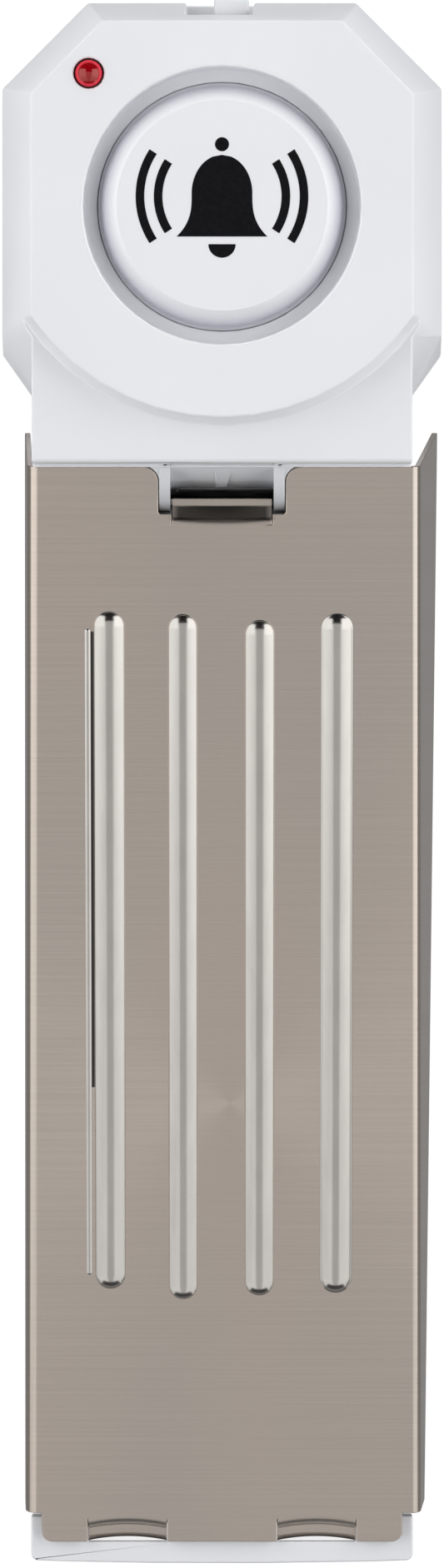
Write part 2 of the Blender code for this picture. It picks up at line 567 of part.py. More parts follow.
TRIGGER_WIRE_RISE_SHARES = (0.3358, 0.438, 0.6058, 0.7445, 0.8102, 0.8686, 0.9708, 1.0803, 1.0803, 1.0511)

SLOPE = math.atan2(PLATE_TALL_Z - PLATE_LOW_Z, PLATE_TALL_Y - PLATE_LOW_Y)

bpy.ops.object.select_all(action="DESELECT")
for old in list(bpy.data.objects):
    bpy.data.objects.remove(old, do_unlink=True)


def plate_point(y, z):
    """(u, w) of a world point in the plate's own frame."""
    along = y - HINGE_Y
    above = z - HINGE_Z
    return (
        along * math.cos(SLOPE) + above * math.sin(SLOPE),
        above * math.cos(SLOPE) - along * math.sin(SLOPE),
    )


PLATE_END_U, PLATE_TOP_W = plate_point(PLATE_LOW_Y, PLATE_LOW_Z)
PLATE_TALL_U = plate_point(PLATE_TALL_Y, PLATE_TALL_Z)[0]


def pressed_z(y, w, angle=SLOPE - PRESS_ANGLE):
    """Height over y of a line in the plate at w, once the plate is pressed right down."""
    return HINGE_Z + (y - HINGE_Y) * math.tan(angle) + w / math.cos(angle)


def deck_z(y):
    """Top of the wedge's deck, just under the pressed plate."""
    return pressed_z(y, PLATE_TOP_W - SHEET) - PLATE_RUNNING_GAP


def plate_z(y, w):
    return pressed_z(y, w, SLOPE)


def flange_edge_z(y):
    """Lower edge of the plate's flanges over y, with the plate at rest."""
    share = ((y - HINGE_Y) / math.cos(SLOPE) - FLANGE_START) / (PLATE_TALL_U - FLANGE_START)
    depth = FLANGE_LOW + (FLANGE_TALL - FLANGE_LOW) * share
    return plate_z(y, PLATE_TOP_W - depth)


def material(name, colour, roughness, metallic=0.0):
    made = bpy.data.materials.new(name)
    made.use_nodes = True
    surface = made.node_tree.nodes["Principled BSDF"]
    surface.inputs["Base Color"].default_value = (*colour, 1.0)
    surface.inputs["Roughness"].default_value = roughness
    surface.inputs["Metallic"].default_value = metallic
    return made


WHITE = material("white_plastic", (0.78, 0.79, 0.82), 0.45)
GREY = material("grey_plastic", (0.30, 0.31, 0.33), 0.5)
BLACK = material("black_plastic", (0.02, 0.02, 0.022), 0.5)
RED = material("red_lens", (0.45, 0.0, 0.005), 0.1)
STEEL = material("brushed_steel", (0.38, 0.35, 0.31), 0.35, 1.0)
BRIGHT = material("plated_steel", (0.6, 0.6, 0.6), 0.25, 1.0)
BRASS = material("brass", (0.65, 0.48, 0.2), 0.3, 1.0)
CERAMIC = material("ceramic", (0.8, 0.78, 0.7), 0.5)
RUBBER = material("rubber", (0.03, 0.03, 0.03), 0.85)
GREEN = material("board", (0.02, 0.16, 0.05), 0.5)
COPPER = material("copper", (0.7, 0.3, 0.15), 0.3, 1.0)
RED_WIRE = material("red_insulation", (0.5, 0.02, 0.02), 0.5)


def finish(name, builder, surface):
    """Closes a bmesh into a named object with its faces pointing out."""
    bmesh.ops.recalc_face_normals(builder, faces=builder.faces)
    mesh = bpy.data.meshes.new(name)
    builder.to_mesh(mesh)
    builder.free()
    made = bpy.data.objects.new(name, mesh)
    bpy.context.scene.collection.objects.link(made)
    made.data.materials.append(surface)
    return made


def loft(name, rings, surface):
    """A closed solid through rings of as many points each, capped at both ends."""
    builder = bmesh.new()
    made = [[builder.verts.new(point) for point in ring] for ring in rings]
    for lower, upper in zip(made, made[1:]):
        for i in range(len(lower)):
            j = (i + 1) % len(lower)
            builder.faces.new((lower[i], lower[j], upper[j], upper[i]))
    builder.faces.new(made[0][::-1])
    builder.faces.new(made[-1])
    return finish(name, builder, surface)


def prism(name, outline, axis, start, end, surface=WHITE):
    """An outline carried along an axis: X takes (y, z) points, Y takes (x, z) and Z takes (x, y)."""
    place = {
        "X": lambda a, b, c: (c, a, b),
        "Y": lambda a, b, c: (a, c, b),
        "Z": lambda a, b, c: (a, b, c),
    }[axis]
    return loft(name, [[place(a, b, c) for a, b in outline] for c in (start, end)], surface)


def box(name, x, y, z, surface=WHITE):
    """A block between the two ends given along each axis."""
    return prism(name, ((x[0], y[0]), (x[1], y[0]), (x[1], y[1]), (x[0], y[1])), "Z", *z, surface)


def arc(centre, radius, first, last, steps):
    """Points of an arc between two angles, both ends included."""
    angles = [first + (last - first) * i / steps for i in range(steps + 1)]
    return [(centre[0] + radius * math.cos(a), centre[1] + radius * math.sin(a)) for a in angles]


def turned(name, profile, centre, sides, surface=WHITE, axis="Z"):
    """A profile of (radius, height) points turned about an upright axis, or about one along Y."""
    builder = bmesh.new()
    rings = []
    for radius, height in profile:
        count = sides if radius > 0 else 1
        ring = []
        for i in range(count):
            angle = 2 * math.pi * i / sides
            side, front = radius * math.cos(angle), radius * math.sin(angle)
            point = (side, front, height) if axis == "Z" else (side, height, front)
            ring.append(builder.verts.new(Vector(centre) + Vector(point)))
        rings.append(ring)
    closed = profile[0][0] > 0
    pairs = list(zip(rings, rings[1:])) + ([(rings[-1], rings[0])] if closed else [])
    for first, second in pairs:
        for i in range(sides):
            j = (i + 1) % sides
            corners = [first[i % len(first)], first[j % len(first)]]
            corners += [second[j % len(second)], second[i % len(second)]]
            face = list(dict.fromkeys(corners))
            if len(face) > 2:
                builder.faces.new(face)
    return finish(name, builder, surface)


def rod(name, radius, centre, start, end, sides=SCREW_SIDES, surface=WHITE, axis="Z"):
    """A plain cylinder."""
    profile = ((0, start), (radius, start), (radius, end), (0, end))
    return turned(name, profile, centre, sides, surface, axis)


def weld(mesh):
    """Makes one of the points that a Boolean left almost on each other."""
    builder = bmesh.new()
    builder.from_mesh(mesh)
    bmesh.ops.remove_doubles(builder, verts=builder.verts, dist=WELD)
    bmesh.ops.dissolve_degenerate(builder, dist=WELD, edges=builder.edges)
    builder.to_mesh(mesh)
    builder.free()


def combine(target, others, operation):
    """Joins others to target, or cuts them from it, and removes them."""
    for other in others:
        modifier = target.modifiers.new(operation.lower(), "BOOLEAN")
        modifier.operation = operation
        modifier.solver = "EXACT"
        modifier.object = other
        graph = bpy.context.evaluated_depsgraph_get()
        mesh = bpy.data.meshes.new_from_object(target.evaluated_get(graph))
        target.modifiers.clear()
        target.data = mesh
        bpy.data.objects.remove(other, do_unlink=True)
        weld(mesh)
    return target


def unite(target, *others):
    return combine(target, others, "UNION")


def cut(target, *others):
    return combine(target, others, "DIFFERENCE")


def mirrored(points):
    """A half outline on the +X side, followed by its mirror image."""
    return list(points) + [(-x, y) for x, y in reversed(points)]


def smooth(made, angle=SMOOTH_ANGLE):
    made.data.shade_smooth()
    made.data.set_sharp_from_angle(angle=angle)
    return made


def strip(name, path, thickness, half_width, centre_x, surface=STEEL):
    """Sheet metal bent along a path of (u, w) points on its middle, carried across x."""
    left, right = [], []
    for i, (a, b) in enumerate(path):
        before = path[max(i - 1, 0)]
        after = path[min(i + 1, len(path) - 1)]
        along, up = after[0] - before[0], after[1] - before[1]
        half = thickness / 2 / math.hypot(along, up)
        left.append((a - up * half, b + along * half))
        right.append((a + up * half, b - along * half))
    ends = (centre_x - half_width, centre_x + half_width)
    return prism(name, left + right[::-1], "X", *ends, surface)


def turn_path(path, radius, first, last, steps=BEND_STEPS):
    """Carries a path on round a bend, from the heading first to the heading last."""
    turn = 1 if last > first else -1
    a, b = path[-1]
    centre = (a - turn * radius * math.sin(first), b + turn * radius * math.cos(first))
    start = first - turn * math.pi / 2
    path += arc(centre, radius, start, start + last - first, steps)[1:]
    return path


def head_rings():
    """Outline of the head and neck at the floor, at the foot of the facets and at the shoulder."""
    share = SHOULDER_SHARE
    levels = (
        (FLOOR_CLEAR, FLOOR_HALF_WIDTH, DRAFT_NECK_Y, DRAFT_FRONT_Y, DRAFT_CORNER_Y, DRAFT_REAR_HALF, REAR_Y),
        (
            FACET_Z,
            FACET_HALF_WIDTH,
            FACET_NECK_Y,
            FACET_FRONT_Y,
            FACET_CORNER_Y,
            FACET_REAR_HALF,
            FACET_REAR_Y,
        ),
        (
            SHOULDER_Z,
            SHOULDER_HALF_WIDTH,
            SHOULDER_NECK_Y,
            SHOULDER_FRONT_Y,
            PLATEAU_CORNER_Y + (FACET_CORNER_Y - PLATEAU_CORNER_Y) * share,
            PLATEAU_REAR_HALF + (FACET_REAR_HALF - PLATEAU_REAR_HALF) * share,
            PLATEAU_REAR_Y + (FACET_REAR_Y - PLATEAU_REAR_Y) * share,
        ),
    )
    rings = []
    for z, side, neck_y, front_y, corner_y, rear_half, rear_y in levels:
        half = (
            (NECK_HALF_WIDTH, NECK_FRONT_Y),
            (NECK_HALF_WIDTH, neck_y),
            (side, front_y),
            (side, ARC_END_Y),
            (side, corner_y),
            (rear_half, rear_y),
        )
        rings.append([(x, y, z) for x, y in mirrored(half)])
    return rings


def head_block():
    """The head and neck as one closed block, with the octagonal plateau stepped up from the shoulder."""
    builder = bmesh.new()
    made = [[builder.verts.new(point) for point in ring] for ring in head_rings()]
    for lower, upper in zip(made, made[1:]):
        for i in range(len(lower)):
            j = (i + 1) % len(lower)
            builder.faces.new((lower[i], lower[j], upper[j], upper[i]))
    builder.faces.new(made[0])
    front, back = made[2][:4], made[2][8:]
    facet_foot = made[2][3:9]
    side_y = PLATEAU_ARC_Y - math.sqrt(PLATEAU_ARC_RADIUS**2 - PLATEAU_HALF_WIDTH**2)
    top_half = (
        (PLATEAU_HALF_WIDTH, side_y),
        (PLATEAU_HALF_WIDTH, PLATEAU_CORNER_Y),
        (PLATEAU_REAR_HALF, PLATEAU_REAR_Y),
    )
    top = [builder.verts.new((x, y, HEAD_HEIGHT)) for x, y in mirrored(top_half)]
    inner, outer = [], []
    for radius, z, ends, store in (
        (PLATEAU_ARC_RADIUS, HEAD_HEIGHT, (top[-1], top[0]), inner),
        (SHOULDER_ARC_RADIUS, SHOULDER_Z, (facet_foot[-1], facet_foot[0]), outer),
    ):
        half_width = abs(ends[0].co.x)
        reach = math.asin(half_width / radius)
        points = arc((0, PLATEAU_ARC_Y), radius, -math.pi / 2 - reach, -math.pi / 2 + reach, ARC_STEPS)
        middle = [builder.verts.new((x, y, z)) for x, y in points[1:-1]]
        store.extend([ends[0], *middle, ends[1]])
    for i in range(len(top) - 1):
        builder.faces.new((facet_foot[i], facet_foot[i + 1], top[i + 1], top[i]))
    for i in range(ARC_STEPS):
        builder.faces.new((outer[i], outer[i + 1], inner[i + 1], inner[i]))
    builder.faces.new(top[:-1] + inner[:-1])
    builder.faces.new(front[:3] + outer[::-1] + back[1:])
    return finish("upper_shell", builder, WHITE)


def wedge_block():
    """The wedge and nose under the plate, with the deck sloping just below the pressed plate."""
    bow_radius = (NOSE_HALF_WIDTH**2 + NOSE_BOW**2) / (2 * NOSE_BOW)
    corner_y = NOSE_END_Y + NOSE_BOW
    nose = [
        (NOSE_CORNER + x - NOSE_HALF_WIDTH, y)
        for x, y in arc((0, corner_y + NOSE_CORNER), NOSE_CORNER, math.pi, math.pi * 1.5, ROLL_STEPS)
    ]
    reach = math.asin((NOSE_HALF_WIDTH - NOSE_CORNER) / bow_radius)
    bow = arc((0, NOSE_END_Y + bow_radius), bow_radius, -math.pi / 2 - reach, -math.pi / 2, ROLL_STEPS)
    left = [(-WEDGE_HALF_WIDTH, BAY_BACK_Y), (-WEDGE_HALF_WIDTH, NOSE_BACK_Y)]
    left.append((-NOSE_HALF_WIDTH, NOSE_BACK_Y))
    left += nose[:-1] + bow
    outline = left + [(-x, y) for x, y in reversed(left[:-1])]
    block = prism("wedge", outline, "Z", FLOOR_CLEAR, PLATE_TALL_Z)
    reach_y = (NOSE_END_Y - OVERRUN, BAY_BACK_Y + OVERRUN)
    sky = [(y, deck_z(y)) for y in reach_y] + [(y, HEAD_HEIGHT) for y in reversed(reach_y)]
    cut(block, prism("sky", sky, "X", -FLOOR_HALF_WIDTH, FLOOR_HALF_WIDTH))
    skirt_ends = (SKIRT_START_Y, BAY_BACK_Y)
    skirt = [(y, skirt_z(y)) for y in skirt_ends] + [(y, FLOOR_CLEAR) for y in reversed(skirt_ends)]
    return unite(block, prism("skirt", skirt, "X", -SKIRT_HALF_WIDTH, SKIRT_HALF_WIDTH))


def skirt_z(y):
    """Top of the low skirt under the flanges, clear of their pressed edge."""
    return flange_edge_z(y) - (y - HINGE_Y) * math.tan(PRESS_ANGLE) - SKIRT_GAP


def roll_cutter():
    """What the round front edge of the neck leaves away."""
    centre = (NECK_FRONT_Y + NECK_ROLL, SHOULDER_Z - NECK_ROLL)
    outline = arc(centre, NECK_ROLL, math.pi / 2, math.pi, ROLL_STEPS)
    outline += [(NECK_FRONT_Y - OVERRUN, centre[1]), (NECK_FRONT_Y - OVERRUN, SHOULDER_Z + OVERRUN)]
    outline += [(centre[0], SHOULDER_Z + OVERRUN)]
    return prism("roll", outline, "X", -FLOOR_HALF_WIDTH, FLOOR_HALF_WIDTH)


def undercut():
    """Room for the plate's upper edge, which moves towards the head as it goes down."""
    low, high = NECK_FRONT_Y - OVERRUN, NECK_UNDERCUT_Y
    lip_z = PLATE_TALL_Z + PLATE_RUNNING_GAP
    outline = ((low, deck_z(low)), (high, deck_z(high)), (high, lip_z), (low, lip_z))
    return prism("undercut", outline, "X", -FLOOR_HALF_WIDTH, FLOOR_HALF_WIDTH)


def flange_pocket(side):
    """Side recess of the neck, in which the end of one flange moves."""
    back_top = NECK_UNDERCUT_Y
    drop = POCKET_TOP_Z - skirt_z(NECK_UNDERCUT_Y)
    back_foot = back_top + drop * math.tan(SLOPE) + POCKET_END_MARGIN / 2
    front = NECK_FRONT_Y - OVERRUN
    outline = (
        (front, POCKET_TOP_Z),
        (back_top, POCKET_TOP_Z),
        (back_foot, skirt_z(back_foot) - POCKET_SINK),
        (front, skirt_z(front) - POCKET_SINK),
    )
    return prism("pocket", outline, "X", side * WEDGE_HALF_WIDTH, side * (FLOOR_HALF_WIDTH + OVERRUN))


def inset_ring(z, side, rear_half, rear_y, corner_y, front_y, neck_y):
    """One level of the head's inner space."""
    bay_half = WEDGE_HALF_WIDTH - WALL
    half = (
        (bay_half, NECK_UNDERCUT_Y + WALL),
        (bay_half, neck_y),
        (side, front_y),
        (side, corner_y),
        (rear_half, rear_y),
    )
    return [(x, y, z) for x, y in mirrored(half)]


def head_space():
    """Inner space of the head: battery level, board level and the pocket round the siren collar."""
    diagonal = WALL * math.tan(CORNER_MITRE)
    front = WALL * math.tan(FRONT_MITRE)
    middle_z = TRAY_TOP_Z
    floor_side = FLOOR_HALF_WIDTH - WALL
    facet_side = FACET_HALF_WIDTH - WALL
    lower = loft(
        "lower_space",
        [
            inset_ring(
                z, side, half - diagonal, rear - WALL, corner - diagonal, chamfer + front, neck + WALL
            )
            for z, side, half, rear, corner, chamfer, neck in (
                (-OVERRUN, floor_side, DRAFT_REAR_HALF, REAR_Y, DRAFT_CORNER_Y, DRAFT_FRONT_Y, DRAFT_NECK_Y),
                (
                    middle_z,
                    facet_side,
                    FACET_REAR_HALF,
                    FACET_REAR_Y,
                    FACET_CORNER_Y,
                    FACET_FRONT_Y,
                    FACET_NECK_Y,
                ),
            )
        ],
        WHITE,
    )
    roof_share = (HEAD_HEIGHT - COLLAR_BOTTOM_Z) / FACET_HEIGHT
    roof_side = PLATEAU_HALF_WIDTH + FACET_SPREAD * roof_share - WALL
    roof_corner = UPPER_REAR_Y - (roof_side - FACET_REAR_HALF)
    facet_corner = UPPER_REAR_Y + FACET_REAR_HALF - facet_side
    upper = loft(
        "upper_space",
        [
            inset_ring(z, side, FACET_REAR_HALF - WALL, UPPER_REAR_Y, corner, chamfer + front, neck + WALL)
            for z, side, corner, chamfer, neck in (
                (middle_z - OVERLAP, facet_side, facet_corner - WALL, FACET_FRONT_Y, FACET_NECK_Y),
                (FACET_Z, facet_side, facet_corner - WALL, FACET_FRONT_Y, FACET_NECK_Y),
                (COLLAR_BOTTOM_Z, roof_side, roof_corner - WALL, SHOULDER_FRONT_Y, SHOULDER_NECK_Y),
            )
        ],
        WHITE,
    )
    rim = PLATEAU_HALF_WIDTH - WALL
    side_y = PLATEAU_ARC_Y - math.sqrt(PLATEAU_ARC_RADIUS**2 - PLATEAU_HALF_WIDTH**2)
    half = (
        (rim, side_y),
        (rim, PLATEAU_CORNER_Y - WALL),
        (PLATEAU_REAR_HALF - WALL, UPPER_REAR_Y - WALL),
    )
    pocket = prism("roof_pocket", mirrored(half), "Z", COLLAR_BOTTOM_Z - OVERLAP, CAVITY_ROOF_Z)
    collar = rod("collar", COLLAR_RADIUS, (0, CAP_Y, 0), COLLAR_BOTTOM_Z - OVERRUN, HEAD_HEIGHT, ROUND_SIDES)
    return lower, upper, cut(pocket, collar)


def wedge_space():
    """The bay under the tall end, the egg-crate cells and the seat of the base plate."""
    half = WEDGE_HALF_WIDTH - WALL
    ends = (BAY_FRONT_Y, BAY_BACK_Y)
    outline = [(y, deck_z(y) - DECK) for y in ends] + [(y, -OVERRUN) for y in reversed(ends)]
    yield prism("bay", outline, "X", -half, half)
    row_pitch = (BAY_FRONT_Y - CELL_START_Y) / CELL_ROWS
    column_pitch = 2 * half / CELL_COLUMNS
    for row in range(CELL_ROWS):
        low = CELL_START_Y + row * row_pitch
        rows = (low, low + row_pitch - RIB)
        outline = [(y, deck_z(y) - DECK) for y in rows] + [(y, -OVERRUN) for y in reversed(rows)]
        for column in range(CELL_COLUMNS):
            left = -half + column * column_pitch
            margins = (RIB / 2 if column else 0, RIB / 2 if column < CELL_COLUMNS - 1 else 0)
            yield prism("cell", outline, "X", left + margins[0], left + column_pitch - margins[1])
    seat_half = BASE_HALF_WIDTH + GAP
    yield box(
        "seat",
        (-seat_half, seat_half),
        (BASE_FRONT_Y - GAP, BASE_BACK_Y + GAP),
        (-OVERRUN, BASE_TOP_Z + GAP),
    )
    channel_half = RAIL_GROOVE + GAP / 2
    yield box(
        "channel",
        (-channel_half, channel_half),
        (BASE_BACK_Y, REAR_Y + OVERRUN),
        (-OVERRUN, FLANGE_BOTTOM_Z),
    )


def base_screw_places():
    return [(x, y) for y in (BASE_SCREW_FRONT_Y, BASE_SCREW_BACK_Y) for x in (-BASE_SCREW_X, BASE_SCREW_X)]


def tray_screw_places():
    return [(x, y) for y in (TRAY_SCREW_FRONT_Y, TRAY_SCREW_REAR_Y) for x in (-TRAY_SCREW_X, TRAY_SCREW_X)]


def boss_additions():
    """Screw bosses and spring wells, which hang from the deck and the walls."""
    for x, y in base_screw_places():
        bottom = BASE_TOP_Z + GAP
        yield rod("boss", BOSS_RADIUS, (x, y, 0), bottom, deck_z(y) - DECK / 2)
    for x, y in tray_screw_places():
        bottom = FLANGE_TOP_Z + GAP
        yield rod("boss", BOSS_RADIUS, (x, y, 0), bottom, TRAY_BOSS_TOP_Z)
    for x in (-SPRING_X, SPRING_X):
        z = (SPRING_BOTTOM_Z - GAP - WELL_FLOOR, deck_z(SPRING_Y) - DECK / 2)
        yield rod("well", WELL_BORE + WELL_WALL, (x, SPRING_Y, 0), *z, WELL_SIDES)


def screw_holes():
    """Pilot holes of the eight housing screws and the bores of the spring wells."""
    hole = SCREW_SHANK + GAP
    for x, y in base_screw_places():
        yield rod("hole", hole, (x, y, 0), 0, min(BASE_TOP_Z + SCREW_LENGTH, deck_z(y) - DECK))
    for x, y in tray_screw_places():
        yield rod("hole", hole, (x, y, 0), 0, FLANGE_TOP_Z + SCREW_LENGTH)
    for x in (-SPRING_X, SPRING_X):
        yield rod("bore", WELL_BORE, (x, SPRING_Y, 0), SPRING_BOTTOM_Z - GAP, PLATE_TALL_Z, WELL_SIDES)


def throat_additions():
    """Sloping back wall of the throat, its rib, the two side ramps and the thin strip in the dark."""
    lip_z = PLATE_TALL_Z + PLATE_RUNNING_GAP + OVERLAP / 2
    foot_z = deck_z(THROAT_BACK_Y) - DECK
    back = NECK_UNDERCUT_Y + WALL / 2
    wall = ((back, foot_z), (THROAT_BACK_Y, foot_z), (THROAT_BACK_Y, foot_z + DECK), (NECK_FRONT_Y, lip_z))
    wall += ((back, lip_z),)
    yield prism("back_wall", wall, "X", -THROAT_HALF_WIDTH - OVERLAP / 2, THROAT_HALF_WIDTH + OVERLAP / 2)
    rise = (THROAT_BACK_Y - THROAT_RIB_DEPTH, foot_z + DECK)
    rib = []
    for half, y, z in (
        (THROAT_RIB_HALF_FOOT, rise[0], rise[1]),
        (THROAT_RIB_HALF_TOP, NECK_FRONT_Y - THROAT_RIB_DEPTH, lip_z - OVERLAP),
    ):
        rib.append([(-half, y, z), (half, y, z), (half, y + OVERRUN, z), (-half, y + OVERRUN, z)])
    yield loft("rib", rib, WHITE)
    for side in (-1, 1):
        base_z = deck_z(RAMP_FOOT_Y) - DECK / 2
        top_z = SHOULDER_Z - NECK_ROLL
        ramp = arc((RAMP_FOOT_Y, top_z), NECK_FRONT_Y - RAMP_FOOT_Y, 0, -math.pi / 2, ROLL_STEPS)
        depth = (top_z - base_z) / (NECK_FRONT_Y - RAMP_FOOT_Y)
        ramp = [(y, top_z + (z - top_z) * depth) for y, z in ramp]
        ramp = [(NECK_FRONT_Y + OVERLAP, top_z), *ramp, (NECK_FRONT_Y + OVERLAP, base_z)]
        yield prism("ramp", ramp, "X", side * THROAT_HALF_WIDTH, side * RAMP_OUTER)
    strip_y = (STRIP_FRONT_Y, back)
    strip_x = (STRIP_X - STRIP_WIDTH / 2, STRIP_X + STRIP_WIDTH / 2)
    yield box("strip", strip_x, strip_y, (STRIP_FOOT_Z, foot_z + DECK / 2))


def throat_cutter():
    """The opening of the deck behind the notch, down which the tongue moves."""
    return box(
        "throat",
        (-THROAT_HALF_WIDTH, THROAT_HALF_WIDTH),
        (THROAT_FRONT_Y, THROAT_BACK_Y),
        (deck_z(THROAT_FRONT_Y) - DECK - OVERLAP, PLATE_TALL_Z),
    )


def cap_cutters():
    """Round groove with its sloping wall, and the hole that takes the siren cap."""
    floor_z = HEAD_HEIGHT - GROOVE_DEPTH
    slant = (GROOVE_RADIUS - GROOVE_FLOOR_RADIUS) / GROOVE_DEPTH
    groove = ((0, floor_z), (GROOVE_FLOOR_RADIUS, floor_z))
    groove += ((GROOVE_RADIUS + slant * OVERLAP, HEAD_HEIGHT + OVERLAP), (0, HEAD_HEIGHT + OVERLAP))
    yield turned("groove", groove, (0, CAP_Y, 0), ROUND_SIDES)
    hole = CAP_RADIUS + CAP_SLOT
    yield rod("cap_hole", hole, (0, CAP_Y, 0), COLLAR_BOTTOM_Z - OVERLAP, HEAD_HEIGHT + OVERLAP, ROUND_SIDES)


def cap_lugs():
    """Four ledges under the cap, with the sound going out between them."""
    outer = CAP_RADIUS + CAP_SLOT + OVERLAP / 2
    for i in range(LUG_COUNT):
        middle = 2 * math.pi * (i + 1 / 2) / LUG_COUNT
        ends = (middle - LUG_ANGLE / 2, middle + LUG_ANGLE / 2)
        outline = arc((0, CAP_Y), outer, *ends, BEND_STEPS)
        outline += arc((0, CAP_Y), LUG_INNER, *ends[::-1], BEND_STEPS)
        yield prism("lug", outline, "Z", COLLAR_BOTTOM_Z, LUG_TOP_Z)


def switch_cutters():
    """Open recess of the rear wall and the slot of the knob behind it."""
    z = (RECESS_BOTTOM_Z, HEAD_HEIGHT + OVERLAP)
    yield box("recess", (RECESS_LEFT, RECESS_RIGHT), (RECESS_Y, REAR_Y + OVERRUN), z)
    yield box(
        "slot",
        (KNOB_LEFT - KNOB_TRAVEL - GAP, KNOB_RIGHT + GAP),
        (UPPER_REAR_Y - OVERRUN, REAR_Y),
        (KNOB_BOTTOM_Z - GAP, KNOB_TOP_Z + GAP),
    )


def hook_cutters():
    """Slots of the nose for the plate's hooks, with the pockets of their feet."""
    for side in (-1, 1):
        centre = side * HOOK_CENTRE
        x = (centre - HOOK_HALF_WIDTH - GAP, centre + HOOK_HALF_WIDTH + GAP)
        yield box("slot", x, (HOOK_SLOT_FRONT_Y, HOOK_SLOT_BACK_Y), (-OVERRUN, PLATE_LOW_Z + OVERLAP))
        yield box("pocket", x, (HOOK_POCKET_Y, HOOK_SLOT_FRONT_Y + OVERLAP), (-OVERRUN, HOOK_POCKET_TOP))


def upper_shell():
    shell = unite(head_block(), wedge_block())
    cut(shell, roll_cutter(), undercut(), flange_pocket(-1), flange_pocket(1))
    cut(shell, *head_space(), *wedge_space())
    unite(shell, *boss_additions(), *throat_additions())
    cut(shell, throat_cutter(), *cap_cutters(), *switch_cutters(), *hook_cutters(), *screw_holes())
    led = (LED_X, LED_Y, 0)
    seat_z = (COLLAR_BOTTOM_Z - OVERLAP, CAVITY_ROOF_Z)
    hole_z = (CAVITY_ROOF_Z - OVERLAP, HEAD_HEIGHT + OVERLAP)
    cut(shell, rod("led_seat", LED_SEAT_RADIUS, led, *seat_z, STUD_SIDES))
    cut(shell, rod("led_hole", LED_HOLE_RADIUS, led, *hole_z, STUD_SIDES))
    return unite(shell, *cap_lugs())


def world_point(u, w):
    """(y, z) in the world of a point in the plate's own frame."""
    return (
        HINGE_Y + u * math.cos(SLOPE) - w * math.sin(SLOPE),
        HINGE_Z + u * math.sin(SLOPE) + w * math.cos(SLOPE),
    )


def bead_rise(x, u):
    """Height of the raised beads over the flat of the sheet."""
    ends = [plate_point(y, plate_z(y, PLATE_TOP_W))[0] for y in (BEAD_LOW_Y, BEAD_TALL_Y)]
    past = max(ends[0] - u, u - ends[1], 0.0)
    off = min(math.hypot(x - centre, past) for centre in BEAD_CENTRES)
    radius = (BEAD_HALF_WIDTH**2 + BEAD_HEIGHT**2) / (2 * BEAD_HEIGHT)
    return math.sqrt(radius**2 - off**2) - radius + BEAD_HEIGHT if off < BEAD_HALF_WIDTH else 0.0


def plate_section(u, inset):
    """Points across the channel from one flange's lower edge to the other's, on its outer or inner skin."""
    share = (u - FLANGE_START) / (PLATE_TALL_U - FLANGE_START)
    depth = FLANGE_LOW + (FLANGE_TALL - FLANGE_LOW) * share
    fold = PLATE_HALF_LOW + (PLATE_HALF_TALL - PLATE_HALF_LOW) * share - FOLD_RADIUS
    fold_w = PLATE_TOP_W - FOLD_RADIUS
    sides = []
    for side, flare in ((-1, FLANGE_FLARE_LEFT), (1, FLANGE_FLARE_RIGHT)):
        bend = arc((fold, fold_w), FOLD_RADIUS - inset, flare, math.pi / 2, FOLD_STEPS)
        length = (bend[0][1] - (PLATE_TOP_W - depth) - inset * math.sin(flare)) / math.cos(flare)
        foot = (bend[0][0] + length * math.sin(flare), bend[0][1] - length * math.cos(flare))
        sides.append([(side * x, w) for x, w in [foot, *bend]])
    flat = [centre + share * BEAD_HALF_WIDTH for centre in BEAD_CENTRES for share in BEAD_SHARES]
    middle = [(x, PLATE_TOP_W - inset + bead_rise(x, u)) for x in flat]
    return [(x, u, w) for x, w in sides[0] + middle + sides[1][::-1]]


def plate_stations():
    low, tall = (plate_point(y, plate_z(y, PLATE_TOP_W))[0] for y in (BEAD_LOW_Y, BEAD_TALL_Y))
    caps = [share * BEAD_HALF_WIDTH for share in BEAD_SHARES if share >= 0]
    return [PLATE_END_U, *(low - c for c in caps[::-1]), *(tall + c for c in caps), PLATE_TALL_U]


def channel():
    """The folded sheet with its four beads, before its ends are cut to shape."""
    builder = bmesh.new()
    skins = []
    for inset in (0.0, SHEET):
        skins.append([[builder.verts.new(p) for p in plate_section(u, inset)] for u in plate_stations()])
    for rows in skins:
        for row, after in zip(rows, rows[1:]):
            for i in range(len(row) - 1):
                builder.faces.new((row[i], row[i + 1], after[i + 1], after[i]))
    outer, inner = skins
    for edge in (0, -1):
        for i in range(len(outer[edge]) - 1):
            builder.faces.new((outer[edge][i], outer[edge][i + 1], inner[edge][i + 1], inner[edge][i]))
        for i in range(len(outer) - 1):
            builder.faces.new((outer[i][edge], outer[i + 1][edge], inner[i + 1][edge], inner[i][edge]))
    return finish("wedge_plate", builder, STEEL)


